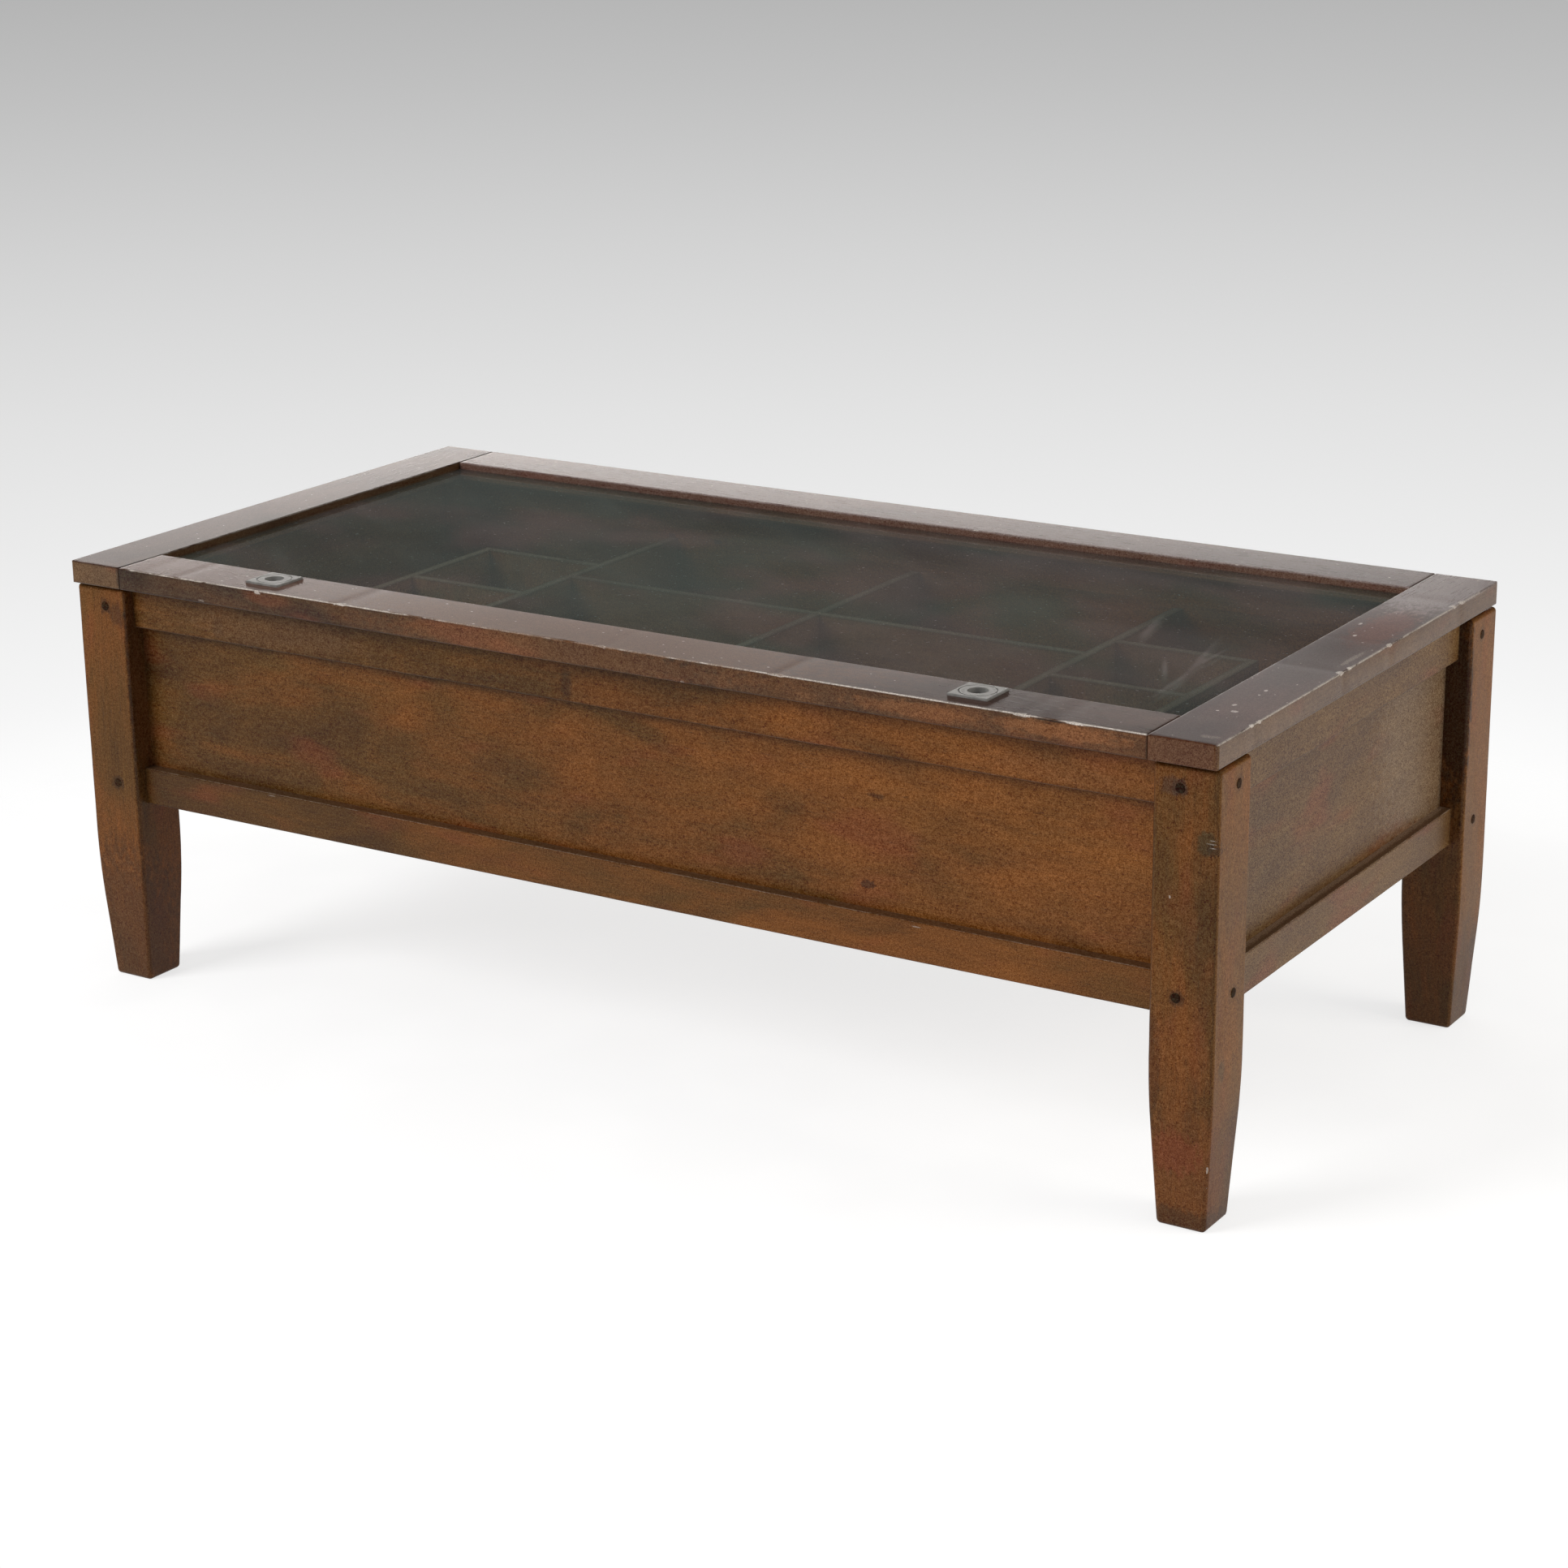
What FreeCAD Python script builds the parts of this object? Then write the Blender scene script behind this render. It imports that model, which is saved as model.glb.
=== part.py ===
import FreeCAD, Part
import math
import os
from types import SimpleNamespace

import Sketcher

# Collectors display table: a glazed, hinged lid over a divided case on four tapered legs.
# Millimetres. X runs along the table, Y from the front to the back, Z up.
# The origin is on the floor, under the middle of the whole outline with its hinges.

SIZES = [
    ("table_height", 446.0, "floor to the top face of the lid"),
    ("lid_length", 1270.0, "lid, end to end"),
    ("lid_depth", 622.0, "lid, front edge to back edge"),
    ("lid_thickness", 22.5, "lid frame"),
    ("lid_rail_width", 64.5, "all four members of the lid frame"),
    ("lid_edge_bevel", 1.5, "outer edges of the lid"),
    ("lid_gap", 2.5, "between the lid and the top of the case"),
    ("front_overhang", 7.0, "lid, past the front faces of the legs"),
    ("lid_tenon_length", 30.0, "tenons of the long lid rails in the end ones"),
    ("lid_tenon_thickness", 8.0, "tenons of the long lid rails"),
    ("lid_tenon_shoulder", 9.0, "lid tenons, in from both edges of the wood"),
    ("glass_drop", 7.5, "top face of the lid down to the glass"),
    ("glass_thickness", 5.0, "glass pane"),
    ("glass_play", 1.0, "glass edge to the wall of its rebate"),
    ("rebate_width", 10.0, "rebate under the lip of the lid frame"),
    ("bead_width", 9.0, "glazing beads"),
    ("bead_setback", 0.5, "glazing beads, above the underside of the lid"),
    ("bead_bevel", 3.0, "inner lower edge of the glazing beads"),
    ("plate_side", 40.0, "square finger plates"),
    ("plate_thickness", 2.2, "finger plates, proud of the lid"),
    ("plate_bevel", 0.7, "edges of the finger plates"),
    ("plate_inset", 38.0, "finger hole, from the front edge of the lid"),
    ("plate_left_inset", 235.0, "left finger hole, from the left end of the lid"),
    ("plate_right_inset", 246.0, "right finger hole, from the right end of the lid"),
    ("finger_radius", 9.5, "finger holes"),
    ("ferrule_wall", 1.5, "tube of a finger plate through the lid"),
    ("ring_radius", 17.0, "ring cut in the face of a finger plate"),
    ("ring_width", 1.2, "ring cut in the face of a finger plate"),
    ("ring_depth", 0.5, "ring cut in the face of a finger plate"),
    ("relief_width", 34.0, "finger pockets in the front top rail"),
    ("relief_depth", 18.0, "finger pockets, down from the top"),
    ("relief_wall", 7.0, "wood left in front of the finger pockets"),
    ("leg_side", 62.0, "square legs"),
    ("foot_side", 47.0, "legs at the floor"),
    ("taper_height", 158.0, "floor to the start of the taper"),
    ("taper_curve", 66.0, "height of the curve that leads into the taper"),
    ("leg_edge_bevel", 2.0, "long edges and foot edges of the legs"),
    ("rail_thickness", 25.0, "case rails"),
    ("rail_recess", 13.0, "front and end rails, behind the leg faces"),
    ("rail_edge_bevel", 1.0, "outer long edges of the case rails"),
    ("top_rail_height", 41.0, "top rails"),
    ("bottom_rail_height", 38.0, "bottom rails"),
    ("bottom_rail_rise", 193.5, "floor to the underside of the bottom rails"),
    ("tenon_thickness", 10.0, "rail tenons"),
    ("tenon_setback", 5.0, "tenons, behind the outer faces of their rails"),
    ("tenon_shoulder", 7.0, "shoulder at the outer edge of a rail"),
    ("groove_shoulder", 1.5, "tenon to the panel groove"),
    ("mitre_flat", 1.0, "blunt tip of a mitred tenon"),
    ("mitre_gap", 1.3, "tenon tip to the tenon it meets"),
    ("joint_play", 0.1, "play of tenons, panels and dividers in their joints"),
    ("peg_radius", 4.8, "pegs through the tenons"),
    ("peg_inset", 36.5, "pegs, from the outer corner of a leg"),
    ("peg_rise", 21.75, "pegs, above the lower edge of a rail"),
    ("peg_proud", 1.2, "pegs, proud of the leg faces"),
    ("panel_setback", 12.0, "panels, behind the outer faces of the rails"),
    ("tongue_thickness", 8.0, "edges of the panels in their grooves"),
    ("groove_depth", 8.0, "panel grooves"),
    ("tongue_gap", 0.5, "panel edge to the bottom of its groove"),
    ("deck_thickness", 9.0, "bottom board of the display case"),
    ("deck_play", 0.5, "deck edge to the walls and legs"),
    ("cleat_side", 20.0, "square cleats under the deck"),
    ("batten_width", 40.0, "battens under the deck"),
    ("batten_height", 19.0, "battens under the deck"),
    ("batten_offset", 200.0, "battens, from the middle"),
    ("divider_thickness", 10.0, "dividers"),
    ("divider_drop", 39.0, "top of the case down to the dividers"),
    ("wall_play", 0.3, "divider ends to the walls of the case"),
    ("dado_depth", 3.0, "housings for the ends of the cross dividers"),
    ("end_bay_width", 142.0, "end walls to the outer dividers"),
    ("block_width", 148.0, "outer dividers to the inner ones"),
    ("back_row_depth", 196.0, "back wall to the back long divider"),
    ("front_row_depth", 180.0, "front wall to the front long divider"),
    ("back_strip_depth", 142.0, "back wall to the first short divider"),
    ("short_row_pitch", 136.0, "between the short dividers"),
    ("hinge_length", 52.0, "hinges"),
    ("hinge_inset", 215.0, "hinges, from the ends of the lid"),
    ("leaf_reach", 24.0, "hinge leaves, from the pin's axis"),
    ("leaf_thickness", 1.2, "hinge leaves"),
    ("pin_setback", 3.6, "pin's axis, behind the back edge of the lid"),
    ("pin_radius", 1.6, "hinge pins"),
    ("pin_play", 0.05, "hinge pins in their knuckles, all round"),
    ("knuckle_radius", 3.25, "hinge knuckles"),
    ("knuckle_gap", 0.3, "between neighbouring knuckles"),
    ("stop_angle", 95.0, "opening at which the hinge heels meet, in degrees"),
    ("heel_reach", 6.2, "heels, from the pin's axis"),
    ("heel_thickness", 2.0, "heels"),
    ("heel_play", 0.15, "heels to the knuckles they pass"),
    ("screw_head_radius", 3.0, "hinge screws, head"),
    ("screw_length", 14.0, "hinge screws, below the leaf"),
    ("screw_play", 0.05, "screws in their holes, all round"),
    ("screw_inset", 14.0, "hinge screws, from the pin's axis"),
    ("screw_pitch", 30.0, "between hinge screws"),
    ("bumper_side", 14.0, "square felt pads on the front legs"),
    ("bumper_play", 0.2, "felt pads to the lid"),
]

KNUCKLES = 3                 # case, lid, case
SCREWS_PER_LEAF = 2
SHORT_DIVIDERS = 3           # in each block
QUARTER_TURN = 90
OVERCUT = 1                  # how far a cutting tool runs past an open face

X_AXIS, Y_AXIS, Z_AXIS = (FreeCAD.Vector(1, 0, 0), FreeCAD.Vector(0, 1, 0), FreeCAD.Vector(0, 0, 1))
ALONG_X = FreeCAD.Rotation(Y_AXIS, QUARTER_TURN)
ALONG_Y = FreeCAD.Rotation(X_AXIS, -QUARTER_TURN)
DOWNWARDS = FreeCAD.Rotation(X_AXIS, 2 * QUARTER_TURN)
TOLERANCE = 1e-4

doc = FreeCAD.newDocument("collectors_display_table")
exported = []


# ---------------------------------------------------------------- sizes and formulas

class Size:
    """A length that knows its value and its formula in the sheet's aliases."""

    def __init__(self, value, formula):
        self.value = value
        self.formula = formula

    def combine(self, other, sign, swap=False):
        other = as_size(other)
        first, second = (other, self) if swap else (self, other)
        value = {
            "+": first.value + second.value,
            "-": first.value - second.value,
            "*": first.value * second.value,
            "/": first.value / second.value if second.value else math.inf,
        }[sign]
        return Size(value, f"({first.formula} {sign} {second.formula})")

    def __add__(self, other):
        return self.combine(other, "+")

    def __radd__(self, other):
        return self.combine(other, "+", swap=True)

    def __sub__(self, other):
        return self.combine(other, "-")

    def __rsub__(self, other):
        return self.combine(other, "-", swap=True)

    def __mul__(self, other):
        return self.combine(other, "*")

    def __rmul__(self, other):
        return self.combine(other, "*", swap=True)

    def __truediv__(self, other):
        return self.combine(other, "/")

    def __neg__(self):
        return self.combine(-1, "*")


def as_size(item):
    return item if isinstance(item, Size) else Size(float(item), str(float(item)))


def make_sheet():
    """The driving dimensions, and the same ones as Size objects."""
    sheet = doc.addObject("Spreadsheet::Sheet", "Sizes")
    sizes = {}
    for row, (alias, number, note) in enumerate(SIZES, start=1):
        sheet.set(f"A{row}", alias)
        sheet.set(f"B{row}", str(number))
        sheet.setAlias(f"B{row}", alias)
        sheet.set(f"C{row}", note)
        sizes[alias] = Size(number, f"Sizes.{alias}")
    doc.recompute()
    return SimpleNamespace(**sizes)


def bind(item, prop, size):
    item.setExpression(prop, as_size(size).formula)


def bind_base(item, point, path="Placement.Base"):
    for axis, size in zip("xyz", point):
        bind(item, f"{path}.{axis}", size)


def ordered(first, second):
    """Two sizes as low and high."""
    first, second = as_size(first), as_size(second)
    return (first, second) if first.value <= second.value else (second, first)


def vector(point):
    return FreeCAD.Vector(*[as_size(size).value for size in point])


def put(item, point, turn=0):
    """Place a sub-part, turned about Z, with its position bound to the sheet."""
    item.Placement = FreeCAD.Placement(vector(point), FreeCAD.Rotation(Z_AXIS, turn))
    bind_base(item, point)
    return item


def keep(item, label):
    """Mark an object as a sub-part with its own name."""
    item.Label = label
    exported.append(item)
    return item


# ---------------------------------------------------------------- PartDesign helpers

def new_body(label):
    return keep(doc.addObject("PartDesign::Body", "Body"), label)


def origin_plane(body, role):
    return next(item for item in body.Origin.OriginFeatures if item.Role == role)


def new_sketch(body, role, lift=0):
    sketch = body.newObject("Sketcher::SketchObject", "Sketch")
    sketch.AttachmentSupport = [(origin_plane(body, role), "")]
    sketch.MapMode = "FlatFace"
    bind(sketch, "AttachmentOffset.Base.z", lift)
    return sketch


def fix(sketch, kind, geometry, point, size):
    """Pin one coordinate of a sketch point to the sketch's origin."""
    size = as_size(size)
    index = sketch.addConstraint(Sketcher.Constraint(kind, -1, 1, geometry, point, size.value))
    sketch.setExpression(f"Constraints[{index}]", size.formula)


def left_arc(start, end, radius):
    """Arc of a circle from start to end, turning to the left."""
    chord = end - start
    rise = math.sqrt(radius * radius - chord.Length * chord.Length / 4)
    centre = (start + end) / 2 + FreeCAD.Vector(-chord.y, chord.x, 0).normalize() * rise
    angles = [math.atan2(point.y - centre.y, point.x - centre.x) for point in (start, end)]
    return Part.ArcOfCircle(Part.Circle(centre, Z_AXIS, radius), *angles)


def outline(body, role, corners, lift=0, bow=None):
    """Closed outline of straight edges through corners given as pairs of sizes.

    With bow, the first edge is an arc of that radius.
    """
    sketch = new_sketch(body, role, lift)
    count = len(corners)
    points = [vector((across, along, 0)) for across, along in corners]
    for index, point in enumerate(points):
        following = points[(index + 1) % count]
        bowed = bow is not None and index == 0
        edge = left_arc(point, following, bow.value) if bowed else Part.LineSegment(point, following)
        sketch.addGeometry(edge, False)
    for index in range(count):
        sketch.addConstraint(Sketcher.Constraint("Coincident", index, 2, (index + 1) % count, 1))
    for index, (across, along) in enumerate(corners):
        fix(sketch, "DistanceX", index, 1, across)
        fix(sketch, "DistanceY", index, 1, along)
    if bow is not None:
        constraint = sketch.addConstraint(Sketcher.Constraint("Radius", 0, bow.value))
        sketch.setExpression(f"Constraints[{constraint}]", bow.formula)
    return sketch


def rectangle(body, role, across, along, lift=0):
    (left, right), (low, high) = ordered(*across), ordered(*along)
    return outline(body, role, [(left, low), (right, low), (right, high), (left, high)], lift)


def pad(body, sketch, length, symmetric=False):
    feature = body.newObject("PartDesign::Pad", "Pad")
    feature.Profile = sketch
    feature.SideType = "Symmetric" if symmetric else "One side"
    bind(feature, "Length", length)
    return feature


def cut_through(body, sketch):
    feature = body.newObject("PartDesign::Pocket", "Pocket")
    feature.Profile = sketch
    feature.SideType = "Symmetric"
    feature.Type = "ThroughAll"
    return feature


def box(body, kind, x, y, z):
    """Box feature between spans of sizes: kind is Additive or Subtractive."""
    feature = body.newObject(f"PartDesign::{kind}Box", f"{kind}Box")
    for side, axis, span in (("Length", "x", x), ("Width", "y", y), ("Height", "z", z)):
        low, high = ordered(*span)
        bind(feature, side, high - low)
        bind(feature, f"Placement.Base.{axis}", low)
    return feature


def bore(body, start, length, radius, rotation=None):
    """Round hole from a start point along +Z, or turned by a rotation."""
    feature = body.newObject("PartDesign::SubtractiveCylinder", "Bore")
    feature.Placement = FreeCAD.Placement(vector(start), rotation or FreeCAD.Rotation())
    bind(feature, "Radius", radius)
    bind(feature, "Height", length)
    bind_base(feature, start)
    return feature


def edges_where(feature, test):
    """Names of a feature's straight edges whose two ends pass a test."""
    doc.recompute()
    names = []
    for index, edge in enumerate(feature.Shape.Edges, start=1):
        ends = [vertex.Point for vertex in edge.Vertexes]
        if len(ends) == 2 and test(*ends):
            names.append(f"Edge{index}")
    return names


def near(value, size):
    return abs(value - as_size(size).value) < TOLERANCE


def both_at(axis, size):
    """Test for edges that lie at one coordinate: axis is 0, 1 or 2."""
    return lambda start, end: near(start[axis], size) and near(end[axis], size)


def along_outer_face(start, end):
    """Test for the long edges of a rail's outer face, which lies at y = 0."""
    return both_at(1, 0)(start, end) and not near(start.x, end.x)


def bevel(body, feature, test, size):
    """Chamfer the edges that pass a test."""
    result = body.newObject("PartDesign::Chamfer", "Bevel")
    result.Base = (feature, edges_where(feature, test))
    bind(result, "Size", size)
    return result


# ---------------------------------------------------------------- Part helpers

def part_box(x, y, z):
    item = doc.addObject("Part::Box", "Box")
    for side, axis, span in (("Length", "x", x), ("Width", "y", y), ("Height", "z", z)):
        low, high = ordered(*span)
        bind(item, side, high - low)
        bind(item, f"Placement.Base.{axis}", low)
    return item


def part_cylinder(start, length, radius, rotation=None):
    item = doc.addObject("Part::Cylinder", "Cylinder")
    item.Placement = FreeCAD.Placement(vector(start), rotation or FreeCAD.Rotation())
    bind(item, "Radius", radius)
    bind(item, "Height", length)
    bind_base(item, start)
    return item


def part_cone(start, length, first_radius, second_radius, rotation=None):
    item = doc.addObject("Part::Cone", "Cone")
    item.Placement = FreeCAD.Placement(vector(start), rotation or FreeCAD.Rotation())
    bind(item, "Radius1", first_radius)
    bind(item, "Radius2", second_radius)
    bind(item, "Height", length)
    bind_base(item, start)
    return item


def fuse(items):
    item = doc.addObject("Part::MultiFuse", "Fuse")
    item.Shapes = items
    return item


def cut(base, tools):
    item = doc.addObject("Part::Cut", "Cut")
    item.Base = base
    item.Tool = tools[0] if len(tools) == 1 else fuse(tools)
    return item


def group(items):
    item = doc.addObject("Part::Compound", "Group")
    item.Links = items
    return item


# ---------------------------------------------------------------- shared places

s = make_sheet()

half_length = s.lid_length / 2
heel_side = math.cos(math.radians(s.stop_angle.value / 2))
hinge_throw = s.pin_setback + s.heel_reach * Size(heel_side, "cos(Sizes.stop_angle / 2 * 1 deg)")
lid_front = -(s.lid_depth + hinge_throw) / 2
lid_back = lid_front + s.lid_depth
lid_bottom = s.table_height - s.lid_thickness
leg_front = lid_front + s.front_overhang
leg_back = lid_back
leg_top = lid_bottom - s.lid_gap

top_rail_bottom = leg_top - s.top_rail_height
bottom_rail_top = s.bottom_rail_rise + s.bottom_rail_height
back_recess = as_size(0)                       # the hinge rail is flush with the back legs
wall_inset = s.rail_recess + s.rail_thickness  # leg face to the inside of the case

inner_half = half_length - wall_inset
inner_front = leg_front + wall_inset
inner_back = leg_back - back_recess - s.rail_thickness
deck_top = bottom_rail_top
deck_bottom = deck_top - s.deck_thickness
divider_top = leg_top - s.divider_drop
clear_half = half_length - s.leg_side          # between the legs, along X
clear_front = leg_front + s.leg_side
clear_back = leg_back - s.leg_side

pin_y = lid_back + s.pin_setback
pin_z = leg_top + s.lid_gap / 2


# ---------------------------------------------------------------- legs and pegs

def tenon_levels(height, is_top):
    """Lower and upper edge of a tenon, above the lower edge of its rail."""
    grooved = s.groove_depth + s.groove_shoulder
    if is_top:
        return grooved, height - s.tenon_shoulder
    return s.tenon_shoulder, height - grooved


def mirrored(span, swap):
    """Spans of a cut on the first face of a leg, or the same cut on its second face."""
    x, y, z = span
    return (y, x, z) if swap else (x, y, z)


def peg_place(level, start, swap):
    """Start and direction of a peg into the first or the second face of a leg."""
    return ((start, s.peg_inset, level), ALONG_X) if swap else ((s.peg_inset, start, level), ALONG_Y)


def taper_waste(face, inward):
    """Outline of the wood to take off one side of a leg: a curve off the face, then straight to the foot."""
    foot_inset = (s.leg_side - s.foot_side) / 2
    slope = foot_inset / (s.taper_height - s.taper_curve / 2)
    curve_inset = slope * s.taper_curve / 2
    outside = face - inward * OVERCUT
    curve = [(face, s.taper_height), (face + inward * curve_inset, s.taper_height - s.taper_curve)]
    rest = [(face + inward * (foot_inset + slope * OVERCUT), -OVERCUT), (outside, -OVERCUT),
            (outside, s.taper_height)]
    bow = (s.taper_curve * s.taper_curve + curve_inset * curve_inset) / (2 * curve_inset)
    # The arc comes first and turns to the left, so the far side is drawn the other way round.
    return (curve + rest if inward > 0 else curve[::-1] + rest[::-1]), bow


def tapered_post(body):
    """A square leg, curved into its taper on all four sides, with eased edges."""
    span = (0, s.leg_side)
    shape = pad(body, rectangle(body, "XY_Plane", span, span), leg_top)
    for role in ("XZ_Plane", "YZ_Plane"):
        for face, inward in ((as_size(0), 1), (s.leg_side, -1)):
            corners, bow = taper_waste(face, inward)
            shape = cut_through(body, outline(body, role, corners, bow=bow))
    upright = bevel(body, shape, lambda start, end: not near(start.z, end.z), s.leg_edge_bevel)
    bevel(body, upright, both_at(2, 0), s.leg_edge_bevel)


def leg(label, corner, turn, first_recess, second_recess):
    """A leg with its outer corner at the local origin.

    The first rail runs along local X behind the face at y = 0, the second one along local Y
    behind the face at x = 0.
    """
    body = new_body(label)
    tapered_post(body)
    recesses = (first_recess, second_recess)
    for swap in (False, True):
        recess, crossing = recesses[swap], recesses[not swap]
        deep = crossing + s.tenon_setback
        face = recess + s.tenon_setback
        for rise, height, is_top in ((s.bottom_rail_rise, s.bottom_rail_height, False),
                                     (top_rail_bottom, s.top_rail_height, True)):
            low, high = tenon_levels(height, is_top)
            box(body, "Subtractive", *mirrored((
                (deep, s.leg_side),
                (face - s.joint_play, face + s.tenon_thickness + s.joint_play),
                (rise + low - s.joint_play, rise + high + s.joint_play)), swap))
            start, direction = peg_place(rise + s.peg_rise, as_size(0), swap)
            bore(body, start, face + s.tenon_thickness / 2, s.peg_radius, direction)
        groove = recess + s.panel_setback
        box(body, "Subtractive", *mirrored((
            (s.leg_side - s.groove_depth, s.leg_side),
            (groove - s.joint_play, groove + s.tongue_thickness + s.joint_play),
            (bottom_rail_top - s.groove_depth, top_rail_bottom + s.groove_depth)), swap))
    put(body, corner, turn)


LEGS = {
    "leg_front_left": ((-half_length, leg_front, 0), 0, s.rail_recess, s.rail_recess),
    "leg_front_right": ((half_length, leg_front, 0), QUARTER_TURN, s.rail_recess, s.rail_recess),
    "leg_back_right": ((half_length, leg_back, 0), 2 * QUARTER_TURN, back_recess, s.rail_recess),
    "leg_back_left": ((-half_length, leg_back, 0), 3 * QUARTER_TURN, s.rail_recess, back_recess),
}


def joint_pegs():
    """Two pegs on each outer face of each leg, from just proud of it to the back of the tenon."""
    corners = []
    for corner, turn, *recesses in LEGS.values():
        pegs = []
        for rail_bottom in (s.bottom_rail_rise, top_rail_bottom):
            for swap, recess in enumerate(recesses):
                start, direction = peg_place(rail_bottom + s.peg_rise, -s.peg_proud, swap)
                length = s.peg_proud + recess + s.tenon_setback + s.tenon_thickness
                pegs.append(part_cylinder(start, length, s.peg_radius, direction))
        corners.append(put(group(pegs), corner, turn))
    keep(group(corners), "joint_pegs")


# ---------------------------------------------------------------- case rails and panels

def case_rail(label, height, is_top, rise, side):
    """A rail in a frame of its own: x along it, y inwards from its outer face, z up."""
    body = new_body(label)
    groove = (s.panel_setback - s.joint_play, s.panel_setback + s.tongue_thickness + s.joint_play)
    edge, bottom = (as_size(0), s.groove_depth) if is_top else (height, height - s.groove_depth)
    corners = [(0, 0), (s.rail_thickness, 0), (s.rail_thickness, height), (0, height)]
    notch = [(groove[0], edge), (groove[0], bottom), (groove[1], bottom), (groove[1], edge)]
    profile = corners[:1] + notch + corners[1:] if is_top else corners[:3] + notch[::-1] + corners[3:]
    half = side.length / 2
    rail = pad(body, outline(body, "YZ_Plane", profile), side.length, symmetric=True)
    bevel(body, rail, along_outer_face, s.rail_edge_bevel)
    low, high = tenon_levels(height, is_top)
    tenon = (s.tenon_setback, s.tenon_setback + s.tenon_thickness)
    tips = []
    for end, crossing in ((-1, side.crossings[0]), (1, side.crossings[1])):
        reach = s.leg_side - crossing - s.tenon_setback - s.mitre_gap
        tips.append(end * (half + reach))
        last = box(body, "Additive", (end * (half - s.mitre_flat), end * (half + reach)), tenon, (low, high))
    bevel(body, last,
          lambda start, end: both_at(1, tenon[1])(start, end)
          and any(both_at(0, tip)(start, end) for tip in tips),
          s.tenon_thickness - s.mitre_flat)
    for end in (-1, 1):
        bore(body, (end * (half + s.leg_side - s.peg_inset), 0, s.peg_rise),
             s.rail_thickness, s.peg_radius, ALONG_Y)
    put(body, side.origin(side.recess, rise), side.turn)
    return body


def panel(label, side):
    """A panel, flush with the rails inside, with a thinner tongue all round in the grooves."""
    body = new_body(label)
    height = top_rail_bottom - bottom_rail_top
    grip = s.groove_depth - s.tongue_gap
    half = side.length / 2
    tongue_back = s.panel_setback + s.tongue_thickness
    box(body, "Additive", (-half - grip, half + grip), (s.panel_setback, tongue_back), (-grip, height + grip))
    box(body, "Additive", (-half + s.joint_play, half - s.joint_play), (tongue_back, s.rail_thickness),
        (s.joint_play, height - s.joint_play))
    put(body, side.origin(side.recess, bottom_rail_top), side.turn)


def side_of_case(length, recess, crossings, turn, origin):
    return SimpleNamespace(length=length, recess=recess, crossings=crossings, turn=turn, origin=origin)


long_side = s.lid_length - 2 * s.leg_side
short_side = leg_back - leg_front - 2 * s.leg_side
middle_y = (leg_front + leg_back) / 2
SIDES = {
    "front": side_of_case(long_side, s.rail_recess, (s.rail_recess, s.rail_recess), 0,
                          lambda recess, rise: (0, leg_front + recess, rise)),
    "right": side_of_case(short_side, s.rail_recess, (s.rail_recess, back_recess), QUARTER_TURN,
                          lambda recess, rise: (half_length - recess, middle_y, rise)),
    "back": side_of_case(long_side, back_recess, (s.rail_recess, s.rail_recess), 2 * QUARTER_TURN,
                         lambda recess, rise: (0, leg_back - recess, rise)),
    "left": side_of_case(short_side, s.rail_recess, (back_recess, s.rail_recess), 3 * QUARTER_TURN,
                         lambda recess, rise: (-half_length + recess, middle_y, rise)),
}


plate_centres = {"left": s.plate_left_inset - half_length, "right": half_length - s.plate_right_inset}


def finger_pockets(body):
    """Pockets in the front top rail, open to the inside, for a finger through each plate."""
    for centre in plate_centres.values():
        box(body, "Subtractive", (centre - s.relief_width / 2, centre + s.relief_width / 2),
            (s.relief_wall, s.rail_thickness), (s.top_rail_height - s.relief_depth, s.top_rail_height))


hinge_centres = {"left": s.hinge_inset - half_length, "right": half_length - s.hinge_inset}
screw_shares = [index - (SCREWS_PER_LEAF - 1) / 2 for index in range(SCREWS_PER_LEAF)]
screw_places = [centre + share * s.screw_pitch for centre in hinge_centres.values() for share in screw_shares]
screw_neck = s.screw_head_radius - s.leaf_thickness     # radius of a hinge screw under its head


def hinge_screw_holes(body, face, direction):
    """Screw holes into a rail from one of its faces, x along it and y in from its back face."""
    for place in screw_places:
        bore(body, (place, s.screw_inset - s.pin_setback, face), s.screw_length + s.screw_play,
             screw_neck + s.screw_play, direction)


# ---------------------------------------------------------------- deck, cleats and battens

def display_deck():
    """Bottom board with its corners notched round the legs."""
    body = new_body("display_deck")
    right, near_right = inner_half - s.deck_play, clear_half - s.deck_play
    front, back = inner_front + s.deck_play, inner_back - s.deck_play
    near_front, near_back = clear_front + s.deck_play, clear_back - s.deck_play
    right_half = [(near_right, front), (near_right, near_front), (right, near_front),
                  (right, near_back), (near_right, near_back), (near_right, back)]
    left_half = [(-across, along) for across, along in reversed(right_half)]
    pad(body, outline(body, "XY_Plane", right_half + left_half), s.deck_thickness)
    put(body, (0, 0, deck_bottom))


def cleats():
    """Square strips glued round the inside of the bottom rails, to carry the deck."""
    level = (deck_bottom - s.cleat_side, deck_bottom)
    long_span = (-clear_half + s.deck_play, clear_half - s.deck_play)
    short_span = (clear_front + s.deck_play, clear_back - s.deck_play)
    spans = {
        "front": (long_span, (inner_front, inner_front + s.cleat_side)),
        "back": (long_span, (inner_back - s.cleat_side, inner_back)),
        "right": ((inner_half - s.cleat_side, inner_half), short_span),
        "left": ((-inner_half, -inner_half + s.cleat_side), short_span),
    }
    for name, (x, y) in spans.items():
        keep(part_box(x, y, level), f"deck_cleat_{name}")


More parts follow.
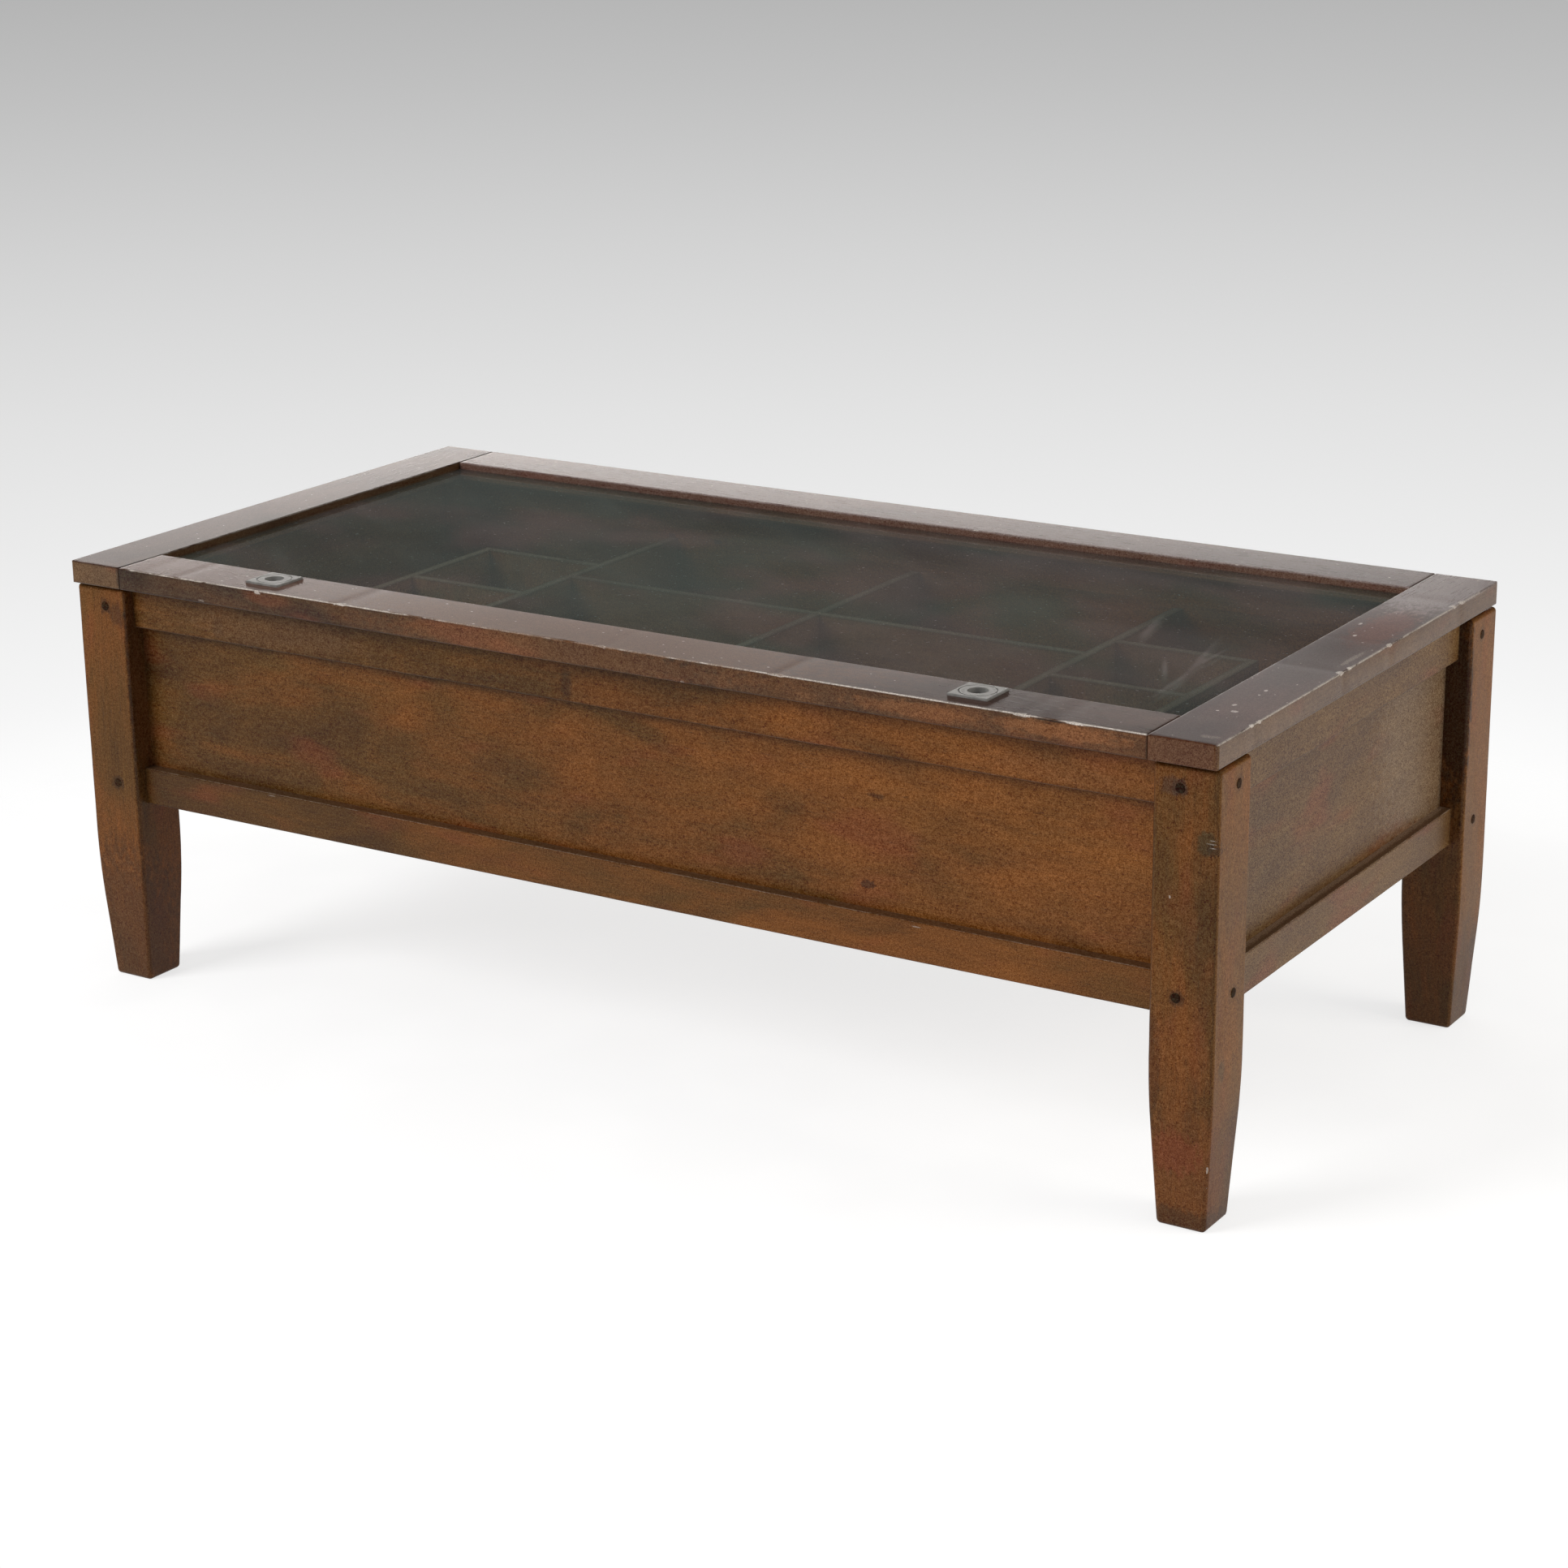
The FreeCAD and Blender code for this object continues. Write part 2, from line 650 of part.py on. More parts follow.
def battens():
    """Two boards flat under the deck, from the front cleat to the back one."""
    boards = [part_box((centre - s.batten_width / 2, centre + s.batten_width / 2),
                       (inner_front + s.cleat_side, inner_back - s.cleat_side),
                       (deck_bottom - s.batten_height, deck_bottom))
              for centre in (-s.batten_offset, s.batten_offset)]
    keep(group(boards), "deck_battens")


# ---------------------------------------------------------------- dividers

outer_column = inner_half - s.end_bay_width
inner_column = outer_column - s.block_width
long_rows = {"divider_long_back": inner_back - s.back_row_depth,
             "divider_long_front": inner_front + s.front_row_depth}
short_rows = [inner_back - s.back_strip_depth - index * s.short_row_pitch for index in range(SHORT_DIVIDERS)]
divider_height = divider_top - deck_top
half_board = s.divider_thickness / 2


def board(x, y):
    return part_box(x, y, (deck_top, divider_top))


def slot_across(x, y, upper):
    """Half of a cross lap: the upper or the lower half of the height, with play."""
    middle = deck_top + divider_height / 2
    if upper:
        return part_box(x, y, (middle - s.joint_play, divider_top + OVERCUT))
    return part_box(x, y, (deck_top - OVERCUT, middle + s.joint_play))


def around(centre, reach):
    return (centre - reach, centre + reach)


def deep_dividers():
    """Dividers from front to back: a centre one, two inner ones and two outer ones."""
    whole = (inner_front + s.wall_play, inner_back - s.wall_play)
    housed = half_board + s.joint_play
    centre = board(around(as_size(0), half_board), whole)
    laps = [slot_across(around(as_size(0), half_board), around(row, housed), True)
            for row in long_rows.values()]
    keep(cut(centre, laps), "divider_centre")
    level = (deck_top, divider_top)
    for name, side in (("left", -1), ("right", 1)):
        column = side * inner_column
        inner_face, outer_face = column - side * half_board, column + side * half_board
        housings = [part_box((inner_face, inner_face + side * s.dado_depth), around(row, housed), level)
                    for row in long_rows.values()]
        housings += [part_box((outer_face, outer_face - side * s.dado_depth), around(row, housed), level)
                     for row in short_rows]
        keep(cut(board(around(column, half_board), whole), housings), f"divider_inner_{name}")
        column = side * outer_column
        inner_face = column - side * half_board
        housings = [part_box((inner_face, inner_face + side * s.dado_depth), around(row, housed), level)
                    for row in short_rows]
        run = (inner_front + s.wall_play, short_rows[0] + half_board)
        keep(cut(board(around(column, half_board), run), housings), f"divider_outer_{name}")


def cross_dividers():
    """Dividers from left to right: long ones between the inner dividers, short ones in the blocks."""
    reach = inner_column - half_board + s.dado_depth - s.joint_play
    housed = half_board + s.joint_play
    for label, row in long_rows.items():
        lap = slot_across(around(as_size(0), housed), around(row, half_board), False)
        keep(cut(board((-reach, reach), around(row, half_board)), [lap]), label)
    near_end = inner_column + half_board - s.dado_depth + s.joint_play
    far_end = outer_column - half_board + s.dado_depth - s.joint_play
    for name, side in (("left", -1), ("right", 1)):
        for index, row in enumerate(short_rows, start=1):
            keep(board((side * near_end, side * far_end), around(row, half_board)),
                 f"divider_short_{name}_{index}")


# ---------------------------------------------------------------- lid frame

opening_half = half_length - s.lid_rail_width            # daylight of the lid, along X
opening_front = lid_front + s.lid_rail_width
opening_back = lid_back - s.lid_rail_width
glass_top = s.table_height - s.glass_drop
glass_bottom = glass_top - s.glass_thickness
rebate_top = s.lid_thickness - s.glass_drop
lid_tenon = (s.lid_tenon_shoulder, s.lid_rail_width - s.rebate_width - s.lid_tenon_shoulder)


def lid_tenon_level(play):
    """Lower and upper face of a lid tenon, or of its mortise, above the underside of the lid."""
    reach = s.lid_tenon_thickness / 2 + play
    return (s.lid_thickness / 2 - reach, s.lid_thickness / 2 + reach)


def long_lid_rail(label, point, turn):
    """Front or back member: x along it, y in from its outer edge, z up from its underside."""
    body = new_body(label)
    lip = s.lid_rail_width - s.rebate_width
    profile = [(0, 0), (lip, 0), (lip, rebate_top), (s.lid_rail_width, rebate_top),
               (s.lid_rail_width, s.lid_thickness), (0, s.lid_thickness)]
    rail = pad(body, outline(body, "YZ_Plane", profile), 2 * opening_half, symmetric=True)
    bevel(body, rail, along_outer_face, s.lid_edge_bevel)
    reach = opening_half + s.lid_tenon_length - s.joint_play
    for end in (-1, 1):
        box(body, "Additive", (end * (opening_half - s.lid_tenon_length), end * reach), lid_tenon,
            lid_tenon_level(0))
    return put(body, point, turn)


def end_lid_rail(label, point, turn):
    """End member over the full depth, with a stopped rebate for the glass and two mortises."""
    body = new_body(label)
    half = s.lid_depth / 2
    rail = pad(body, rectangle(body, "YZ_Plane", (0, s.lid_rail_width), (0, s.lid_thickness)), s.lid_depth,
               symmetric=True)
    at_ends = [both_at(0, -half), both_at(0, half)]
    at_seam = both_at(1, s.lid_rail_width)
    bevel(body, rail,
          lambda start, end: both_at(1, 0)(start, end)
          or any(test(start, end) for test in at_ends) and not at_seam(start, end),
          s.lid_edge_bevel)
    stop = half - s.lid_rail_width + s.rebate_width
    box(body, "Subtractive", (-stop, stop), (s.lid_rail_width - s.rebate_width, s.lid_rail_width),
        (0, rebate_top))
    for end in (-1, 1):
        box(body, "Subtractive",
            (end * (half - lid_tenon[0] + s.joint_play), end * (half - lid_tenon[1] - s.joint_play)),
            (s.lid_rail_width - s.lid_tenon_length, s.lid_rail_width), lid_tenon_level(s.joint_play))
    put(body, point, turn)


def glass_and_beads():
    """The pane under the lip, and four beads that hold it up."""
    side_reach = opening_half + s.rebate_width
    front, back = opening_front - s.rebate_width, opening_back + s.rebate_width
    play = s.glass_play
    keep(part_box((-side_reach + play, side_reach - play), (front + play, back - play),
                  (glass_bottom, glass_top)), "glass_pane")
    level = (lid_bottom + s.bead_setback, glass_bottom)
    span = (-side_reach, side_reach)
    middle = (front + s.bead_width, back - s.bead_width)
    spots = {
        "glazing_bead_front": (span, (front, front + s.bead_width), 1),
        "glazing_bead_back": (span, (back - s.bead_width, back), 1),
        "glazing_bead_left": ((-side_reach, -side_reach + s.bead_width), middle, 0),
        "glazing_bead_right": ((side_reach - s.bead_width, side_reach), middle, 0),
    }
    for label, (x, y, across) in spots.items():
        body = new_body(label)
        strip = box(body, "Additive", x, y, level)
        inner = sorted((x, y)[across], key=lambda size: abs(size.value))[0]
        bevel(body, strip,
              lambda start, end, across=across, inner=inner: both_at(across, inner)(start, end)
              and both_at(2, level[0])(start, end), s.bead_bevel)


def finger_plate(label, centre):
    """A square plate on the lid, its ring, and the tube that lines the hole through the lid."""
    body = new_body(label)
    half = s.plate_side / 2
    plate = pad(body, rectangle(body, "XY_Plane", (-half, half), (-half, half), lift=s.lid_thickness),
                s.plate_thickness)
    top = s.lid_thickness + s.plate_thickness
    bevel(body, plate, lambda start, end: not both_at(2, s.lid_thickness)(start, end), s.plate_bevel)
    tube = body.newObject("PartDesign::AdditiveCylinder", "Tube")
    bind(tube, "Radius", s.finger_radius + s.ferrule_wall)
    bind(tube, "Height", top - s.ring_depth)
    inner, outer = s.ring_radius - s.ring_width / 2, s.ring_radius + s.ring_width / 2
    corners = [(inner, top - s.ring_depth), (outer, top - s.ring_depth), (outer, top + OVERCUT),
               (inner, top + OVERCUT)]
    ring = outline(body, "XZ_Plane", corners)
    groove = body.newObject("PartDesign::Groove", "Ring")
    groove.Profile = ring
    groove.ReferenceAxis = (ring, ["V_Axis"])
    groove.Angle = 360
    bore(body, (0, 0, 0), top, s.finger_radius)
    put(body, (centre, lid_front + s.plate_inset, lid_bottom))


# ---------------------------------------------------------------- hinges

knuckle_length = (s.hinge_length - (KNUCKLES - 1) * s.knuckle_gap) / KNUCKLES


def hinge_leaf(label, centre, is_lid):
    """One leaf with its knuckles and stop heel, in a frame with the pin along X at the origin.

    The lid leaf lies above the pin's axis and the case leaf below it.
    """
    up = 1 if is_lid else -1
    half = s.hinge_length / 2
    leaf_inner = s.lid_gap / 2 - s.leaf_thickness
    level = (up * leaf_inner, up * s.lid_gap / 2)
    root = s.knuckle_radius + s.heel_play
    spans = []
    for index in range(KNUCKLES):
        start = index * (knuckle_length + s.knuckle_gap) - half
        if (index % 2 == 1) == is_lid:
            spans.append((start, start + knuckle_length))
    solids = [part_box((-half, half), (-s.leaf_reach, -root), level)]
    heel = [part_box((-half, half), (root, s.heel_reach), (0, up * s.heel_thickness))]
    for start, end in spans:
        solids.append(part_cylinder((start, 0, 0), end - start, s.knuckle_radius, ALONG_X))
        solids.append(part_box((start, end), (-root, 0), level))
        heel.append(part_box((start, end), (s.pin_radius + s.pin_play, root), (0, up * s.heel_thickness)))
    heel = fuse(heel)
    folded = FreeCAD.Rotation(X_AXIS * up, s.stop_angle.value / 2)
    heel.Placement = FreeCAD.Placement(FreeCAD.Vector(), folded)
    bind(heel, "Placement.Rotation.Angle", s.stop_angle / 2)
    holes = [part_cylinder((-half, 0, 0), s.hinge_length, s.pin_radius + s.pin_play, ALONG_X)]
    for share in screw_shares:
        place = (share * s.screw_pitch, -s.screw_inset, level[0])
        holes.append(part_cone(place, s.leaf_thickness, s.screw_head_radius + s.screw_play,
                               screw_neck + s.screw_play, FreeCAD.Rotation() if is_lid else DOWNWARDS))
    leaf = keep(cut(fuse(solids + [heel]), holes), label)
    put(leaf, (centre, pin_y, pin_z))


def hinges():
    for name, centre in hinge_centres.items():
        hinge_leaf(f"hinge_case_leaf_{name}", centre, False)
        hinge_leaf(f"hinge_lid_leaf_{name}", centre, True)
    rods = [part_cylinder((centre - s.hinge_length / 2, pin_y, pin_z), s.hinge_length, s.pin_radius, ALONG_X)
            for centre in hinge_centres.values()]
    keep(group(rods), "hinge_pins")


def hinge_screws():
    """Countersunk screws down into the case and up into the lid, heads flush with the leaves."""
    y = pin_y - s.screw_inset
    inner = s.lid_gap / 2 - s.leaf_thickness
    for label, level, under_head, direction in (
            ("hinge_case_screws", pin_z - inner, pin_z - s.lid_gap / 2, DOWNWARDS),
            ("hinge_lid_screws", pin_z + inner, pin_z + s.lid_gap / 2, FreeCAD.Rotation())):
        screws = []
        for place in screw_places:
            head = part_cone((place, y, level), s.leaf_thickness, s.screw_head_radius, screw_neck, direction)
            shank = part_cylinder((place, y, under_head), s.screw_length, screw_neck, direction)
            screws.append(fuse([head, shank]))
        keep(group(screws), label)


# ---------------------------------------------------------------- bumpers

def bumpers():
    """Felt pads on the front legs that the lid comes down on."""
    y = around(leg_front + s.leg_side / 2, s.bumper_side / 2)
    pads = [part_box(around(side * (half_length - s.leg_side / 2), s.bumper_side / 2), y,
                     (leg_top, lid_bottom - s.bumper_play))
            for side in (-1, 1)]
    keep(group(pads), "lid_bumpers")


# ---------------------------------------------------------------- the whole table

def build():
    for label, values in LEGS.items():
        leg(label, *values)
    joint_pegs()
    for name, side in SIDES.items():
        case_rail(f"bottom_rail_{name}", s.bottom_rail_height, False, s.bottom_rail_rise, side)
        top = case_rail(f"top_rail_{name}", s.top_rail_height, True, top_rail_bottom, side)
        if name == "front":
            finger_pockets(top)
        if name == "back":
            hinge_screw_holes(top, s.top_rail_height, DOWNWARDS)
        panel(f"panel_{name}", side)
    display_deck()
    cleats()
    battens()
    deep_dividers()
    cross_dividers()
    front = long_lid_rail("lid_rail_front", (0, lid_front, lid_bottom), 0)
    for name, centre in plate_centres.items():
        bore(front, (centre, s.plate_inset, 0), s.lid_thickness,
             s.finger_radius + s.ferrule_wall + s.joint_play)
        finger_plate(f"finger_plate_{name}", centre)
    back = long_lid_rail("lid_rail_back", (0, lid_back, lid_bottom), 2 * QUARTER_TURN)
    hinge_screw_holes(back, 0, FreeCAD.Rotation())
    end_lid_rail("lid_rail_right", (half_length, lid_front + s.lid_depth / 2, lid_bottom), QUARTER_TURN)
    end_lid_rail("lid_rail_left", (-half_length, lid_front + s.lid_depth / 2, lid_bottom), 3 * QUARTER_TURN)
    glass_and_beads()
    hinges()
    hinge_screws()
    bumpers()


def check_and_export():
    """Stop on any failed object, then write one file for each sub-part."""
    doc.recompute()
    for item in doc.Objects:
        if {"Invalid", "Error"} & set(item.State):
            raise RuntimeError(f"{item.Name} ({item.Label}) failed: {item.State}")
    for item in exported:
        if item.Shape.isNull() or not item.Shape.isValid():
            raise RuntimeError(f"{item.Label} has no valid shape")
    os.makedirs("parts", exist_ok=True)
    for item in exported:
        item.Shape.exportStep(f"parts/{item.Label}.step")
        print(f"{item.Label}: {len(item.Shape.Solids)} solids, {item.Shape.Volume / 1000:.1f} cm3")


build()
check_and_export()
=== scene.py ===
"""Collectors display table: its looks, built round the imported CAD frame. Everything is in metres."""

import math
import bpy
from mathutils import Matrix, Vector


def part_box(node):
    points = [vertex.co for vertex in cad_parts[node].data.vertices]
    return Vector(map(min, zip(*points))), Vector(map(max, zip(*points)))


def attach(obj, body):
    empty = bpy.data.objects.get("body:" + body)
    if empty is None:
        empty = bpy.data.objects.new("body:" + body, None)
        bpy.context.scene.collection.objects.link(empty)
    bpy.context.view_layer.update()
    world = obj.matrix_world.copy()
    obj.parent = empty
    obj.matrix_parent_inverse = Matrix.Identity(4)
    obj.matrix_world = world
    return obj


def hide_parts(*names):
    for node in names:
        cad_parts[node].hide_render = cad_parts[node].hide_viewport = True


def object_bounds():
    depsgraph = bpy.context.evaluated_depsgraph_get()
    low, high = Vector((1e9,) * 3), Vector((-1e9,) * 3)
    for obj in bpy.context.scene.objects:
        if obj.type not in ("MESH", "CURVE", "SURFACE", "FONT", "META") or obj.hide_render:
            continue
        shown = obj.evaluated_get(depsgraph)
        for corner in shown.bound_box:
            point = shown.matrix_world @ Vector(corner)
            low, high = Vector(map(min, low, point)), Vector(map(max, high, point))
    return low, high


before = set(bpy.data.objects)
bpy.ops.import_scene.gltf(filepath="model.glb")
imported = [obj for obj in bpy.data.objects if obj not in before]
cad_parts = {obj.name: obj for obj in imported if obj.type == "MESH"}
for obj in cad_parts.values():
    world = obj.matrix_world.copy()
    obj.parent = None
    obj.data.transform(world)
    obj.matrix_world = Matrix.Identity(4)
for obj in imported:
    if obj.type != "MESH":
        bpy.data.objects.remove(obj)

from types import SimpleNamespace

import bmesh
import bpy
from mathutils import Matrix, Vector, noise

CAD_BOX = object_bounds()
MM = 0.001
X, Y, Z = 0, 1, 2

# The photograph: a square picture, and the camera that its straight lines give.
PHOTO_WIDTH = 1932
FOCAL_PIXELS = 4283.94
SENSOR_WIDTH = 36.0
CAMERA_PLACE = Vector((1.79823, -2.79810, 1.28639))
CAMERA_YAW = 0.5681
CAMERA_PITCH = -0.3091
CAMERA_ROLL = -0.0133
CAMERA_REACH = 50

# Rounding of the handmade pieces, and how deep their edges are rubbed.
LEG_ROUND = 4 * MM
RAIL_ROUND = 1.6 * MM
LID_ROUND = 1.5 * MM
LID_CORNER = 4.5 * MM
PANEL_ROUND = 1 * MM
LEG_RUB = 0.5 * MM
RAIL_RUB = 0.35 * MM
LID_RUB = 0.3 * MM
RUBS_PER_METRE = 26
NICKS_PER_METRE = 140

# How finely the pieces are built.
CORNER_STEPS = 3
QUARTER_TURN = math.radians(90)
END_TURN = math.radians(85)
SMALLEST_ROUND = 0.08
STATION_STEP = 10 * MM
LID_STATION_STEP = 4 * MM
HIDDEN_END = 2 * MM
OVERSHOOT = 1 * MM
ROD_SIDES = 48
SHARP_ANGLE = math.radians(40)

# The legs curve into their taper and then run straight to the foot.
TAPER_TOP = 158 * MM
TAPER_STRAIGHT = 92 * MM
TAPER_SLOPE = 0.06

# The pegs through the leg joints.
PEG_FROM_CORNER = 36.5 * MM
PEG_LEVELS = (215.25 * MM, 401.75 * MM)
PEG_RADIUS = 4.8 * MM
PEG_PROUD = 0.7 * MM
PEG_SUNK = 6 * MM
PEG_SIDES = 20
PEG_RINGS = 4
PEG_UNEVEN = 0.06

# The finger plates: the tube through the lid and the ring engraved round the hole.
FERRULE_RADIUS = 11 * MM
PLATE_RING = 17 * MM

# Colours, as red, green and blue from 0 to 255.
FRONT_TONES = ((62, 39, 16), (85, 56, 23), (106, 64, 26), (132, 79, 34))
LEG_TONES = ((64, 41, 19), (91, 60, 26), (112, 67, 29), (134, 80, 37))
# The ends' tones are greyer than the front's, partly a painted sheen that the ends catch from the side.
END_TONES_WITH_SHEEN = ((76, 53, 31), (93, 67, 40), (104, 77, 47), (118, 89, 57))
LID_TONES = ((48, 31, 15), (69, 46, 25), (88, 56, 29), (116, 67, 31))
# The lid's side tones are greyer in the same way, partly painted sheen.
LID_SIDE_TONES_WITH_SHEEN = ((64, 43, 27), (84, 60, 39), (98, 72, 47), (116, 85, 56))
# The lid's top tones are greyer and more lilac, with part of the wax's sheen painted in; the right rail's
# darker copy is painted shade.
LID_TOP_TONES_WITH_SHEEN = ((56, 37, 29), (74, 52, 42), (94, 69, 58), (112, 86, 76))
RIGHT_TOP_SHADED_TONES = ((48, 31, 26), (62, 42, 36), (76, 53, 46), (94, 68, 60))
INNER_TONES = ((74, 52, 38), (98, 72, 54), (118, 90, 70), (140, 110, 88))
DIVIDER_TONES = ((76, 53, 35), (98, 70, 48), (117, 86, 61), (138, 104, 76))
DIVIDER_TOP_TONES = ((98, 88, 78), (114, 104, 94), (128, 118, 108), (144, 134, 124))
PEG_TONES = ((26, 16, 9), (38, 25, 14), (50, 33, 19), (68, 47, 29))
# Dark glaze, also used as painted shade in recesses and where the lid's wax shines less.
DARK_GLAZE_AND_SHADE = (38, 26, 17)
SMUDGE = (46, 33, 18)
# Pale wear, on the lid's top edges partly a painted glint.
WORN_AND_GLINT = (206, 196, 186)
BARE = (146, 92, 52)
RED_STAIN = (118, 58, 34)
GOLD_STAIN = (112, 80, 34)
PURPLE_STAIN = (60, 43, 38)
GREEN_DENT = (60, 56, 37)
PALE_SMEAR = (128, 116, 104)
# Painted sheen: the bright lilac shine of the lid's wax.
PAINTED_SHEEN = (158, 146, 144)
LID_END = (98, 56, 32)
LID_BROWN = (100, 64, 34)
LID_PURPLE = (104, 80, 76)
LEG_END = (120, 80, 34)
# Painted light that lifts the far end of the right panel out of its shade.
END_PAINTED_LIGHT = (126, 108, 90)
RAIL_PALE = (104, 74, 48)
# Painted shade in the recesses beside the legs.
RECESS_SHADE = (34, 24, 15)
# Dirt and painted shade on the bottom rails' ledges.
LEDGE_DIRT_AND_SHADE = (82, 60, 43)
# Painted light: a paler ledge by the end panels, which cancels the shade in that corner.
LEDGE_PAINTED_LIGHT = (128, 104, 84)
CLEAR_GLASS = (244, 246, 240)
GREEN_FILM = (102, 112, 105)
PINK_FILM = (132, 120, 117)
ZINC = (184, 182, 178)
DULL_ZINC = (158, 156, 152)
ENGRAVED = (58, 58, 52)
BRASS = (150, 124, 74)
DARK_BRASS = (84, 66, 40)
STEEL = (98, 94, 88)
DARK_STEEL = (52, 48, 44)
DARK_FELT = (26, 34, 26)
PALE_FELT = (66, 78, 60)

# The noises in the wood: patches per metre along and across the grain, detail, roughness and distortion.
WOOD_NOISES = {
    "broad": (7, 20, 3, 0.55, 0.5),
    "cloud": (2.5, 5, 2, 0.5, 0),
    "streak": (28, 620, 2, 0.6, 0),
    "fleck": (110, 1200, 1, 0.5, 0),
    "pepper": (900, 1100, 1, 0.5, 0),
    "ragged": (120, 220, 2, 0.5, 0),
    "reds": (9, 26, 2, 0.5, 0),
    "smudges": (9, 34, 4, 0.6, 0),
    "rub": (14, 60, 4, 0.75, 0),
    "speckle": (340, 420, 2, 0.5, 0),
    "golds": (6, 16, 2, 0.5, 0),
    "specks": (210, 260, 0, 0.5, 0),
}
# The levels of each noise at which its patches start to show and are full.
PATCH_LEVELS = {
    "fleck": (0.64, 0.76),
    "reds": (0.54, 0.72),
    "smudges": (0.54, 0.72),
    "golds": (0.5, 0.7),
    "specks": (0.82, 0.86),
}
# A wood's tone is the sum of these noises and this base, and the stops say which tone that sum picks.
TONE_NOISES = {"broad": 0.42, "cloud": 0.2, "streak": 0.08, "speckle": 0.06}
TONE_BASE = 0.12
TONE_STOPS = (0.34, 0.45, 0.54, 0.68)
# Painted sheen: how much a top face darkens towards the right as the wax's shine falls off.
TOP_SHEEN_FALL = 2.2
RED_STRENGTH = 0.38
FLECK_STRENGTH = 0.4
TOP_FLECK_STRENGTH = 0.15
TOP_SPECK_STRENGTH = 0.7
LEDGE_STRENGTH = 0.75
GRIT_LIFT = (0.0, 0.028, 0.027)
EDGE_WANDER = 1.92 * MM
BLOT_WANDER = 1.2
FINE_BLOT_WANDER = 2.0
FINE_BLOT = 9 * MM

# A wood's look, where its piece doesn't say otherwise.
PLAIN_WOOD = {
    "roughness": 0.42,
    "patchy": 1.0,  # how much the noises change that roughness
    "dull": (),  # patches of lost wax, in millimetres: (centre, size, added roughness)
    "specular": 0.2,
    "relief": 0.25 * MM,
    "grit": 2.1,  # how strong the finest grain is
    "warm": 0.0,  # how much the tone rises towards the right, per metre
    "smudges": 0.26,
    "golden": 0.18,
    "glaze": 0.6,  # the dark glaze along the edges, partly painted shade where they border a recess
    "glaze_width": 5 * MM,
    "worn": 0.0,  # the pale wear on the long edges, on a lid partly a painted glint
    "worn_reach": 1 * MM,
    "rub_lean": 0.0,  # how much that wear and glint grows towards the right, per metre
    "marks": (),  # single blots: (colour, centre, size, strength)
    "top": None,  # a top face with tones of its own, on the lid partly painted sheen: (level, tones)
    "ledge": None,  # a ledge with dirt and painted shade on it: (level, colour)
}
FRONT_LOOK = {"golden": 0.12}
END_LOOK = {"smudges": 0.08, "golden": 0.06, "grit": 3.2}
LEG_LOOK = {"glaze": 0.55, "glaze_width": 4 * MM, "worn": 0.25, "specular": 0.17}
LID_LOOK = {
    "roughness": 0.28,
    "patchy": 0.1,
    "specular": 0.28,
    "relief": 0.014 * MM,
    "smudges": 0.14,
    "glaze": 0.45,
    "glaze_width": 3 * MM,
    "worn_reach": 1.6 * MM,
}
# How strong the wear and painted glint are on each lid rail's edges.
LID_WEAR_AND_GLINT = {"front": 0.8, "right": 0.6, "back": 0.35, "left": 0.35}
INNER_LOOK = {"roughness": 0.55, "glaze": 0.4, "glaze_width": 4 * MM}
PEG_LOOK = {"roughness": 0.7, "specular": 0.1, "glaze": 0.0}
